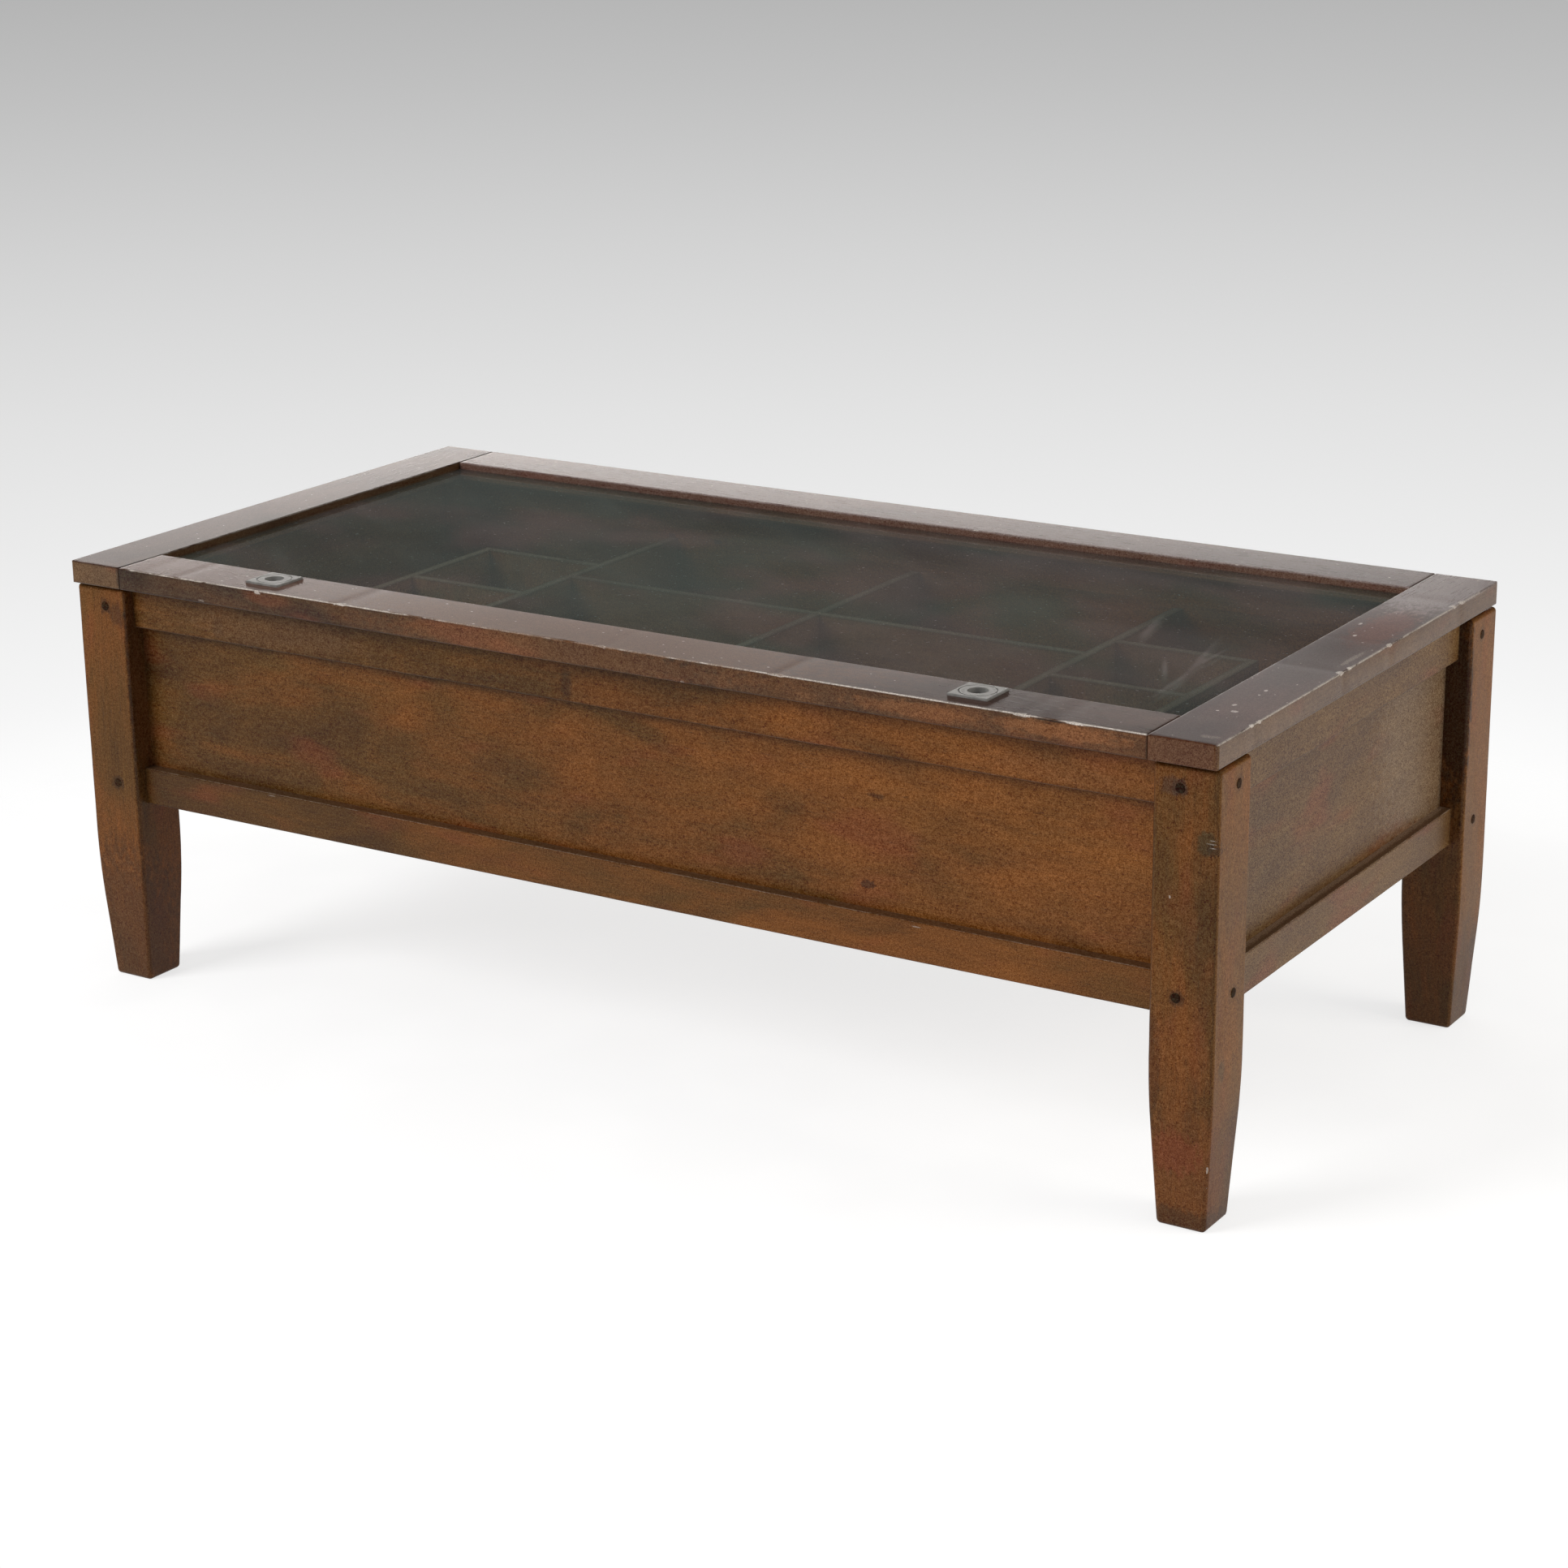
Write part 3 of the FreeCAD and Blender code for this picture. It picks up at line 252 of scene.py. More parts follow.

# The tables below are in millimetres, from the middle of the table at floor level.
# What shows on single pieces in the photograph, some of it painted shade, light and sheen: (colour, centre,
# size, strength).
MARKS = {
    "leg_front_right": [
        (GREEN_DENT, (625, -308, 357.5), (10, 20, 13), 0.6),
        (DARK_GLAZE_AND_SHADE, (630, -308, 352), (6, 20, 6), 0.5),
        (WORN_AND_GLINT, (629.5, -308, 360.5), (3.5, 20, 0.5), 0.3),
        (WORN_AND_GLINT, (628.5, -308, 357.5), (4.5, 20, 0.5), 0.3),
        (WORN_AND_GLINT, (630, -308, 354), (3.5, 20, 0.5), 0.3),
        (WORN_AND_GLINT, (591, -308, 305), (1, 20, 1.6), 0.4),
        (WORN_AND_GLINT, (630.2, -303.1, 45), (1.6, 1.6, 6), 0.5),
        (WORN_AND_GLINT, (630.2, -303.1, 62), (1.2, 1.2, 3), 0.5),
        (RED_STAIN, (600, -300, 72), (30, 20, 24), 0.5),
        (SMUDGE, (625, -308, 270), (12, 20, 100), 0.22),
        (SMUDGE, (576, -308, 150), (12, 20, 60), 0.35),
        (SMUDGE, (604, -300, 6), (60, 60, 16), 0.5),
        (PURPLE_STAIN, (593, -308, 403), (16, 20, 10), 0.5),
        (GREEN_DENT, (634.5, -290, 150), (20, 8, 12), 0.4),
    ],
    # Painted shade on the back right leg's front face, in the recess beside the end panel.
    "leg_back_right": [(RECESS_SHADE, (622, 245.5, 335), (22, 10, 115), 0.75)],
    "leg_front_left": [
        # Painted shade on the leg's inner face, in the recess beside the front panel.
        (RECESS_SHADE, (-573, -294, 330), (5, 18, 150), 0.5),
        (SMUDGE, (-604, -308, 60), (70, 70, 110), 0.45),
        (DARK_GLAZE_AND_SHADE, (-585, -308, 395), (10, 20, 14), 0.45),
    ],
    "top_rail_front": [
        (DARK_GLAZE_AND_SHADE, (-38, -295, 396), (8, 20, 16), 0.5),
        (DARK_GLAZE_AND_SHADE, (-462, -295, 395), (8, 20, 14), 0.35),
        (BARE, (480, -295, 395), (90, 20, 14), 0.25),
        (SMUDGE, (-10, -295, 395), (160, 20, 30), 0.22),
        (RAIL_PALE, (-390, -295, 400), (130, 20, 22), 0.45),
    ],
    "panel_right": [
        # Painted light lifts the panel's far end, by the back leg, out of its shade.
        (END_PAINTED_LIGHT, (610, 200, 330), (20, 130, 150), 0.4),
        (SMUDGE, (610, -200, 300), (20, 100, 200), 0.14),
    ],
    "panel_front": [
        (DARK_GLAZE_AND_SHADE, (281, -283, 253), (8.9, 20, 4), 0.6),
        (DARK_GLAZE_AND_SHADE, (290, -283, 338), (10, 20, 3), 0.5),
        (SMUDGE, (-120, -283, 300), (50, 20, 12), 0.22),
    ],
    "bottom_rail_front": [
        (WORN_AND_GLINT, (338, -295, 227), (5, 20, 0.6), 0.25),
        (WORN_AND_GLINT, (-404, -295, 229), (5, 20, 0.6), 0.2),
    ],
    "lid_rail_front": [
        (WORN_AND_GLINT, (-463, -315, 426.5), (4, 4, 1), 0.15),
        (WORN_AND_GLINT, (-391, -315, 444), (4, 4, 1.8), 0.6),
        (WORN_AND_GLINT, (-287, -315, 445.2), (8.9, 4, 1.4), 0.8),
        (WORN_AND_GLINT, (18, -315, 445.5), (6, 4, 1.4), 0.8),
        (WORN_AND_GLINT, (206, -315, 445.2), (10, 4, 1.4), 0.9),
        (WORN_AND_GLINT, (106, -315, 425), (2, 4, 1), 0.3),
        (BARE, (-20, -315, 434), (260, 2, 14), 0.18),
        (BARE, (350, -315, 434), (75, 2, 8), 0.35),
        (BARE, (485, -315, 436), (75, 2, 8), 0.5),
        (WORN_AND_GLINT, (453, -315, 444.8), (8, 4, 1.4), 0.8),
        (DARK_GLAZE_AND_SHADE, (480, -315, 444), (16, 4, 1), 0.9),
        (WORN_AND_GLINT, (505, -315, 445), (12, 4, 1.2), 0.9),
        (PALE_SMEAR, (473, -283, 446), (4, 3, 10), 0.6),
        (LID_BROWN, (-20, -283, 446), (330, 60, 3), 0.65),
    ],
    "lid_rail_back": [
        (LID_PURPLE, (0, 242.6, 440), (2000, 4, 20), 0.55),
        # Painted sheen along the back rail's top.
        (PAINTED_SHEEN, (300, 275, 446), (1200, 60, 3), 0.18),
    ],
    # Painted shade on the left rail's inner face, down to the glass.
    "lid_rail_left": [(DARK_GLAZE_AND_SHADE, (-570.5, 0, 440), (4, 2000, 20), 0.5)],
    "lid_rail_right": [
        (LID_END, (604, -315.5, 432), (60, 4, 30), 0.5),
        (RED_STAIN, (607, 90, 446), (26, 80, 3), 0.4),
        # Painted shade in the middle of the right rail's top, where its wax shines less.
        (DARK_GLAZE_AND_SHADE, (600, -40, 446), (34, 100, 3), 0.35),
        (PALE_SMEAR, (618, -295, 446), (11, 5, 10), 0.5),
        # Painted sheen at the far end of the right rail's top.
        (PAINTED_SHEEN, (605, 250, 446), (60, 110, 3), 0.42),
        (PALE_SMEAR, (624.5, -18, 446), (3, 28, 2), 0.6),
        (WORN_AND_GLINT, (633, -64, 445.5), (3.6, 4.9, 2.4), 0.7),
        (WORN_AND_GLINT, (634, -46, 445.5), (2.4, 4.2, 1.9), 0.7),
        (DARK_GLAZE_AND_SHADE, (627, -64, 446), (2, 7, 2), 0.6),
        (WORN_AND_GLINT, (634, 43, 445.5), (2.4, 4.9, 2.2), 0.7),
        (WORN_AND_GLINT, (632.5, 197, 445.5), (3.2, 4.2, 2.4), 0.7),
        (WORN_AND_GLINT, (633.5, 216, 445.5), (2.4, 5.6, 1.9), 0.7),
        (DARK_GLAZE_AND_SHADE, (628, 203, 446), (1.5, 9, 2), 0.6),
        (WORN_AND_GLINT, (634, -248, 445.5), (2.4, 4.2, 1.9), 0.7),
        (WORN_AND_GLINT, (634.5, -234, 445.5), (1.9, 3.5, 1.9), 0.7),
        (WORN_AND_GLINT, (596, -201, 446), (2.2, 3, 10), 0.7),
        (WORN_AND_GLINT, (605, -219, 446), (4, 3, 10), 0.6),
        (WORN_AND_GLINT, (591, -223, 446), (2, 2, 10), 0.8),
        (WORN_AND_GLINT, (601, -148, 446), (2, 3, 10), 0.6),
        (WORN_AND_GLINT, (595, 56, 446), (2, 3, 10), 0.7),
        (WORN_AND_GLINT, (583, 97, 446), (2, 4, 10), 0.7),
    ],
}
# Where the lid's wax is duller: (centre, size, added roughness).
LID_DULL = {
    "lid_rail_front": [((0, -283, 446), (350, 80, 20), 0.1)],
    "lid_rail_left": [((-603, -150, 446), (80, 300, 20), 0.015)],
    "lid_rail_right": [
        ((605, 40, 446), (80, 170, 20), 0.15),
        ((605, -220, 446), (80, 140, 20), 0.055),
    ],
}
# Haze and wiped streaks on the glass: (centre, angle in degrees, half length, half width, strength).
SMEARS = (
    ((120, -80, 438.5), 0, 600, 220, 0.07),
    ((511, -153, 438.5), 95, 55, 4, 0.3),
    ((499, -72, 438.5), 102, 110, 5, 0.3),
    ((503, -50, 438.5), 90, 45, 4, 0.3),
    ((479, -97, 438.5), 116, 45, 4, 0.3),
    ((410, 12, 438.5), 102, 60, 6, 0.3),
)
# Chips out of the two top edges of the lid that meet at this corner: (place along the edge, size, depth).
CHIPPED_CORNER = (635, -315, 446)
LID_CHIPS = {
    "front": ((-540, 12, 1), (-495, 10, 1.2), (-391, 8, 1.4), (-287, 12, 1.6),
              (18, 8, 1.2), (206, 10, 1.8), (453, 12, 1), (480, 16, 1.6)),
    "right": ((-244, 12, 0.6), (-61, 14, 1), (43, 12, 0.8), (208, 16, 1)),
}


def in_metres(millimetres):
    return tuple(value / 1000 for value in millimetres)


def linear(colour):
    """A 0 to 255 screen colour as the linear colour that a shader takes."""
    parts = []
    for part in colour:
        level = part / 255
        parts.append(level / 12.92 if level <= 0.04045 else ((level + 0.055) / 1.055) ** 2.4)
    return (*parts, 1.0)


class Graph:
    """One node tree, with short ways to add the nodes that the materials share."""

    def __init__(self, owner):
        owner.use_nodes = True
        self.tree = owner.node_tree
        self.tree.nodes.clear()

    def add(self, kind, inputs=None, **settings):
        """A new ShaderNode of that kind with its settings, and its inputs set or linked."""
        made = self.tree.nodes.new("ShaderNode" + kind)
        for name, value in settings.items():
            setattr(made, name, value)
        for socket, value in (inputs or {}).items():
            if isinstance(value, bpy.types.NodeSocket):
                self.tree.links.new(value, made.inputs[socket])
            else:
                made.inputs[socket].default_value = value
        return made

    def math(self, operation, first, second=0.0, clamp=False):
        inputs = {0: first, 1: second}
        return self.add("Math", inputs, operation=operation, use_clamp=clamp).outputs[0]

    def plus(self, first, second, clamp=False):
        return self.math("ADD", first, second, clamp)

    def minus(self, first, second):
        return self.math("SUBTRACT", first, second)

    def times(self, first, second):
        return self.math("MULTIPLY", first, second)

    def vector(self, operation, first, second=(0, 0, 0)):
        return self.add("VectorMath", {0: first, 1: second}, operation=operation).outputs[0]

    def length(self, value):
        return self.add("VectorMath", {0: value}, operation="LENGTH").outputs["Value"]

    def mix(self, factor, first, second):
        """Two colours mixed, each given as a socket or as a linear colour."""
        return self.add("Mix", {0: factor, 6: first, 7: second}, data_type="RGBA").outputs[2]

    def blend(self, factor, first, second):
        """Two shaders mixed."""
        inputs = {0: factor, 1: first.outputs[0], 2: second.outputs[0]}
        return self.add("MixShader", inputs)

    def fade(self, value, low, high, start=0.0, end=1.0):
        """A smooth step from start at low to end at high."""
        inputs = {0: value, 1: low, 2: high, 3: start, 4: end}
        return self.add("MapRange", inputs, interpolation_type="SMOOTHSTEP").outputs[0]

    def noise(self, place, detail=2.0, roughness=0.5, distortion=0.0):
        inputs = {"Vector": place, "Scale": 1, "Detail": detail, "Roughness": roughness}
        return self.add("TexNoise", {**inputs, "Distortion": distortion}).outputs["Fac"]

    def ramp(self, value, stops):
        """A colour ramp through (position, linear colour) stops."""
        made = self.add("ValToRGB", {0: value})
        elements = made.color_ramp.elements
        while len(elements) < len(stops):
            elements.new(0.5)
        for element, (position, colour) in zip(elements, stops):
            element.position = position
            element.color = colour
        return made.outputs[0]

    def parts(self, vector):
        return self.add("SeparateXYZ", {0: vector}).outputs

    def place(self):
        """The place on the table, in metres, which moves with the piece."""
        return self.add("TexCoord").outputs["Object"]

    def bump(self, height, depth, strength=1.0):
        inputs = {"Height": height, "Distance": depth, "Strength": strength}
        return self.add("Bump", inputs).outputs[0]

    def shown_ray(self):
        """1 for a ray that a viewer sees directly, mirrored or through glass, 0 for light on the object."""
        path = self.add("LightPath").outputs
        seen = self.plus(path["Is Camera Ray"], path["Is Glossy Ray"])
        return self.plus(seen, path["Is Transmission Ray"], clamp=True)

    def glossy(self, colour, roughness, normal, **fixed):
        """A principled shader. What is fixed is the same all over it."""
        inputs = {"Base Color": colour, "Roughness": roughness, "Normal": normal, **fixed}
        return self.add("BsdfPrincipled", inputs)

    def finish(self, shader, target="OutputMaterial"):
        self.add(target, {"Surface": shader.outputs[0]})


def new_material(name):
    material = bpy.data.materials.new(name)
    return material, Graph(material)


def stretched(graph, place, grain, along, across, seed):
    """The place scaled for a noise whose patches are longer along the grain. The scales are per metre."""
    scale = [across] * 3
    scale[grain] = along
    offset = (seed * 7.13, seed * 3.71, seed * 5.37)
    return graph.vector("ADD", graph.vector("MULTIPLY", place, scale), offset)


def axes_across(axis):
    """The two axes square to this one."""
    return [other for other in (X, Y, Z) if other != axis]


def edge_distance(graph, place, box, grain):
    """How far a point on a box's surface is from its nearest edge, and from its nearest long edge."""
    low, high = box
    below = graph.parts(graph.vector("SUBTRACT", place, tuple(low)))
    above = graph.parts(graph.vector("SUBTRACT", tuple(high), place))
    gaps = []
    for axis in (X, Y, Z):
        nearest = graph.math("MINIMUM", below[axis], above[axis])
        gaps.append(graph.math("MAXIMUM", nearest, 0.0))
    smaller = graph.math("MINIMUM", gaps[0], gaps[1])
    larger = graph.math("MAXIMUM", gaps[0], gaps[1])
    nearest_edge = graph.math("MAXIMUM", smaller, graph.math("MINIMUM", larger, gaps[2]))
    return nearest_edge, graph.math("MAXIMUM", *[gaps[axis] for axis in axes_across(grain)])


def spot(graph, place, wander, centre, size, core):
    """1 inside a ragged blot of that size, in metres, and 0 outside it. It is full up to core of its size."""
    offset = graph.vector("SUBTRACT", place, centre)
    away = graph.length(graph.vector("DIVIDE", offset, size))
    return graph.fade(graph.plus(away, wander), core, 1.1, 1.0, 0.0)


class WoodGraph(Graph):
    """The node tree of one wood, with its grain's axis, its seed and the noises that its layers share."""

    def __init__(self, material, grain, seed):
        super().__init__(material)
        self.grain = grain
        self.seed = seed
        self.here = self.place()
        self.coordinates = self.parts(self.here)
        self.layers = {}

    def layer(self, name):
        """One of the WOOD_NOISES, made when it is first asked for."""
        if name not in self.layers:
            along, across, detail, roughness, distortion = WOOD_NOISES[name]
            seed = self.seed + list(WOOD_NOISES).index(name)
            place = stretched(self, self.here, self.grain, along, across, seed)
            self.layers[name] = self.noise(place, detail, roughness, distortion)
        return self.layers[name]

    def wander(self, name, reach):
        """The named noise, moved to lie round zero and scaled to that reach."""
        return self.times(self.minus(self.layer(name), 0.5), reach)

    def patches(self, name, strength):
        """Strength where the named noise is high, and 0 where it is low."""
        low, high = PATCH_LEVELS[name]
        return self.fade(self.layer(name), low, high, 0.0, strength)

    def weighted(self, weights, base):
        """The base plus each named noise times its weight."""
        total = base
        for name, weight in weights.items():
            total = self.plus(total, self.times(self.layer(name), weight))
        return total

    def along_x(self, per_metre):
        """A value that grows towards the right end of the table."""
        return self.times(self.coordinates[X], per_metre)

    def above(self, level, start, end, strength=1.0):
        """Strength over a level and 0 under it, with a smooth step from start to end below it."""
        return self.fade(self.coordinates[Z], level - start, level - end, 0.0, strength)

    def on_top(self, look):
        return self.above(look.top[0], 1.2 * MM, 0.5 * MM)

    def tone(self, value, tones):
        return self.ramp(value, [(stop, linear(tone)) for stop, tone in zip(TONE_STOPS, tones)])


def stained(graph, tones, look):
    """The wood's colour: tones picked by the noises, stains, and a top face's tones; on the lid and ends
    these hold painted sheen.
    """
    value = graph.plus(graph.weighted(TONE_NOISES, TONE_BASE), graph.along_x(look.warm))
    colour = graph.tone(value, tones)
    colour = graph.mix(graph.patches("reds", RED_STRENGTH), colour, linear(RED_STAIN))
    colour = graph.mix(graph.patches("golds", look.golden), colour, linear(GOLD_STAIN))
    if look.top:
        # Painted sheen: the top darkens towards the right as the wax's shine falls off.
        top_value_with_sheen_fall = graph.minus(value, graph.along_x(TOP_SHEEN_FALL * look.warm))
        colour = graph.mix(graph.on_top(look), colour, graph.tone(top_value_with_sheen_fall, look.top[1]))
    return colour


def edged(graph, colour, seen, look):
    """The colour with glaze and painted shade at the edges, dirt and painted shade on a ledge, wear and
    painted glint on long edges.
    """
    edge, long_edge = edge_distance(graph, graph.here, seen, graph.grain)
    loose_edge = graph.plus(edge, graph.wander("ragged", EDGE_WANDER))
    # Dark glaze along the edges, also painted shade where they border a recess.
    colour = graph.mix(graph.fade(loose_edge, 0.0, look.glaze_width, look.glaze, 0.0), colour, linear(DARK_GLAZE_AND_SHADE))
    if look.ledge:
        # Dirt and painted shade darken the ledge.
        level, dirt_and_shade = look.ledge
        on_ledge = graph.above(level, 0.8 * MM, 0.3 * MM, LEDGE_STRENGTH)
        colour = graph.mix(on_ledge, colour, linear(dirt_and_shade))
    return wear_and_glint_edges(graph, colour, long_edge, look) if look.worn else colour


def wear_and_glint_edges(graph, colour, long_edge, look):
    """The colour with pale wear on the long edges, partly a painted glint on a lid's top edges, and, on a top
    face, a fainter painted highlight beside them.
    """
    rub = graph.plus(graph.layer("rub"), graph.along_x(look.rub_lean))
    near = graph.fade(long_edge, look.worn_reach * 0.3, look.worn_reach, 1.0, 0.0)
    edge_wear_and_glint = graph.times(near, graph.fade(rub, 0.38, 0.5))
    if look.top:
        edge_wear_and_glint = graph.times(edge_wear_and_glint, graph.above(look.top[0], 2 * MM, 1.2 * MM))
    colour = graph.mix(graph.times(edge_wear_and_glint, look.worn), colour, linear(WORN_AND_GLINT))
    if look.top:
        # Painted highlight: a fainter glint beside the top edges.
        glint_fade = graph.fade(long_edge, 0.8 * MM, 2.8 * MM, 0.45 * look.worn, 0.0)
        painted_glint = graph.times(glint_fade, graph.fade(rub, 0.4, 0.55))
        colour = graph.mix(graph.times(painted_glint, graph.on_top(look)), colour, linear(WORN_AND_GLINT))
    return colour


def marked(graph, colour, look):
    """The colour with the single blots, and with pale specks on a top face."""
    wander = graph.wander("ragged", BLOT_WANDER)
    fine_wander = graph.wander("speckle", FINE_BLOT_WANDER)
    for mark_colour, centre, size, strength in look.marks:
        fine = max(size[X], size[Z]) < FINE_BLOT
        blot = spot(graph, graph.here, fine_wander if fine else wander, centre, size, 0.8 if fine else 0.55)
        colour = graph.mix(graph.times(blot, strength), colour, linear(mark_colour))
    if look.top:
        specks = graph.times(graph.patches("specks", TOP_SPECK_STRENGTH), graph.on_top(look))
        colour = graph.mix(specks, colour, linear(WORN_AND_GLINT))
    return colour


def gritty(graph, colour, look):
    """The colour with a fine grain that changes how light it is and leaves its hue."""
    grit = graph.weighted({"pepper": look.grit, "speckle": 0.8, "streak": 0.3}, 0.45 - 0.5 * look.grit)
    lifted = graph.vector("ADD", colour, GRIT_LIFT)
    return graph.vector("SUBTRACT", graph.vector("MULTIPLY", lifted, grit), GRIT_LIFT)


def wax(graph, smudge, look):
    """The roughness: that of the finish, changed by the noises, and duller where the wax is lost."""
    base = look.roughness - 0.025 - 0.06 * look.patchy
    rough = graph.weighted({"streak": 0.05, "broad": 0.12 * look.patchy}, base)
    rough = graph.plus(rough, graph.times(smudge, 0.2 * look.patchy))
    for centre, size, amount in look.dull:
        patch = spot(graph, graph.here, 0.0, in_metres(centre), in_metres(size), 0.1)
        rough = graph.plus(rough, graph.times(patch, amount))
    return rough


def wood(name, grain, seed, tones, seen, **changes):
    """Stained and waxed old wood, with its grain along that axis. seen is the box of its visible faces."""
    look = SimpleNamespace(**{**PLAIN_WOOD, **changes})
    material = bpy.data.materials.new(name)
    graph = WoodGraph(material, grain, seed)
    smudge = graph.patches("smudges", look.smudges)
    flecks = graph.patches("fleck", TOP_FLECK_STRENGTH if look.top else FLECK_STRENGTH)
    colour = stained(graph, tones, look)
    colour = graph.mix(smudge, colour, linear(SMUDGE))
    colour = graph.mix(flecks, colour, linear(DARK_GLAZE_AND_SHADE))
    colour = edged(graph, colour, seen, look)
    colour = marked(graph, colour, look)
    colour = gritty(graph, colour, look)
    height = graph.weighted({"streak": 0.5, "broad": 0.8, "pepper": 0.5}, 0.0)
    height = graph.plus(height, graph.times(flecks, -0.8))
    relief = graph.bump(height, look.relief, 0.7)
    shine = {"Specular IOR Level": look.specular}
    graph.finish(graph.glossy(colour, wax(graph, smudge, look), relief, **shine))
    return material


def dust_on_glass(graph, place):
    """How much dust lies at a place on the pane: a thin film, wiped streaks, specks and the single smears."""
    film = graph.noise(stretched(graph, place, X, 3, 5, 3), 3, 0.6, 0.6)
    turned = graph.add("VectorRotate", {"Vector": place, "Angle": math.radians(38)}).outputs[0]
    wipes = graph.noise(stretched(graph, turned, X, 3, 26, 5), 3, 0.6)
    specks = graph.noise(stretched(graph, place, X, 260, 260, 7), 1)
    dust = graph.fade(film, 0.3, 0.75, 0.08, 0.22)
    dust = graph.plus(dust, graph.fade(wipes, 0.52, 0.76, 0.0, 0.06))
    dust = graph.plus(dust, graph.fade(specks, 0.73, 0.77, 0.0, 0.6), clamp=True)
    wander = graph.times(graph.minus(wipes, 0.5), 1.5)
    for centre, angle, length, width, strength in SMEARS:
        middle = in_metres(centre)
        turn = {"Vector": place, "Center": middle, "Angle": -math.radians(angle)}
        turned = graph.add("VectorRotate", turn).outputs[0]
        smear = spot(graph, turned, wander, middle, (*in_metres((length, width)), 1), 0.1)
        dust = graph.plus(dust, graph.times(smear, strength), clamp=True)
    return dust


def glass():
    """Old dusty glass: clear with a mirror that grows at a low angle, under a thin uneven film of dust."""
    material, graph = new_material("old_glass")
    place = graph.place()
    clear = graph.add("BsdfTransparent", {"Color": linear(CLEAR_GLASS)})
    mirror = graph.add("BsdfGlossy", {"Color": (1, 1, 1, 1), "Roughness": 0.04})
    shine = graph.add("Fresnel", {"IOR": 1.5}).outputs[0]
    # A ray that leaves the pane would meet a full mirror, because the clear shader doesn't bend it.
    leaving = graph.add("NewGeometry").outputs["Backfacing"]
    pane = graph.blend(graph.times(shine, graph.minus(1.0, leaving)), clear, mirror)
    tints = graph.noise(stretched(graph, place, X, 7, 9, 9), 2)
    tints = graph.plus(tints, graph.times(graph.parts(place)[X], 0.16))
    tint = graph.mix(graph.fade(tints, 0.4, 0.62), linear(GREEN_FILM), linear(PINK_FILM))
    powder = graph.add("BsdfPrincipled", {"Base Color": tint, "Roughness": 0.7})
    graph.finish(graph.blend(dust_on_glass(graph, place), pane, powder))
    return material


def metal(name, light, dark, roughness, metallic, seed, rings=()):
    """Aged metal: two tones in soft blotches, fine scratches and, on a finger plate, an engraved ring."""
    material, graph = new_material(name)
    place = graph.place()
    blotch = graph.noise(stretched(graph, place, X, 120, 120, seed), 3, 0.6, 0.3)
    scratch = graph.noise(stretched(graph, place, X, 90, 2600, seed + 1), 2)
    pits = graph.noise(stretched(graph, place, X, 900, 900, seed + 2), 2)
    colour = graph.mix(graph.fade(blotch, 0.35, 0.65), linear(dark), linear(light))
    colour = graph.mix(graph.fade(pits, 0.58, 0.72, 0.0, 0.5), colour, linear(dark))
    groove = 0.0
    for centre in rings:
        flat = graph.vector("MULTIPLY", graph.vector("SUBTRACT", place, centre), (1, 1, 0))
        off_line = graph.math("ABSOLUTE", graph.minus(graph.length(flat), PLATE_RING))
        groove = graph.plus(groove, graph.fade(off_line, 0.25 * MM, 0.6 * MM, 1.0, 0.0), clamp=True)
    if rings:
        colour = graph.mix(graph.times(groove, 0.45), colour, linear(ENGRAVED))
    height = graph.plus(graph.times(scratch, 0.4), graph.times(pits, 0.4))
    relief = graph.bump(graph.minus(height, groove), 0.12 * MM, 0.8)
    rough = graph.plus(graph.times(blotch, 0.3), roughness - 0.15)
    graph.finish(graph.glossy(colour, rough, relief, Metallic=metallic))
    return material


def felt():
    """Dark green felt: tangled fibres with a soft sheen."""
    material, graph = new_material("felt")
    place = graph.place()
    fibres = graph.noise(stretched(graph, place, X, 1400, 2600, 1), 4, 0.7, 1.5)
    tufts = graph.noise(stretched(graph, place, X, 300, 300, 2), 2)
    value = graph.plus(graph.times(fibres, 0.6), graph.times(tufts, 0.4))
    colour = graph.ramp(value, [(0.35, linear(DARK_FELT)), (0.65, linear(PALE_FELT))])
    rough = graph.plus(graph.times(fibres, 0.1), 0.85)
    shine = {"Sheen Weight": 0.4}
    graph.finish(graph.glossy(colour, rough, graph.bump(fibres, 0.3 * MM), **shine))
    return material


def rounded_ring(half_u, half_v, radius):
    """The corners of a rounded rectangle, as (u, v) points round its centre."""
    points = []
    for corner, (sign_u, sign_v) in enumerate(((1, 1), (-1, 1), (-1, -1), (1, -1))):
        for step in range(CORNER_STEPS + 1):
            angle = QUARTER_TURN * (corner + step / CORNER_STEPS)
            u = sign_u * (half_u - radius) + radius * math.cos(angle)
            v = sign_v * (half_v - radius) + radius * math.sin(angle)
            points.append((u, v))
    return points


def stations(start, end, radius, spacing):
    """(place along the bar, inset there) pairs, with rounded ends and even steps between them."""
    rounded = []
    for step in range(CORNER_STEPS + 1):
        angle = END_TURN * (1 - step / CORNER_STEPS)
        rounded.append((radius * (1 - math.sin(angle)), radius * (1 - math.cos(angle))))
    straight = end - start - 2 * radius
    count = max(1, round(straight / spacing))
    first = [(start + place, inset) for place, inset in rounded]
    middle = [(start + radius + straight * step / count, 0.0) for step in range(1, count)]
    last = [(end - place, inset) for place, inset in reversed(rounded)]
    return first + middle + last


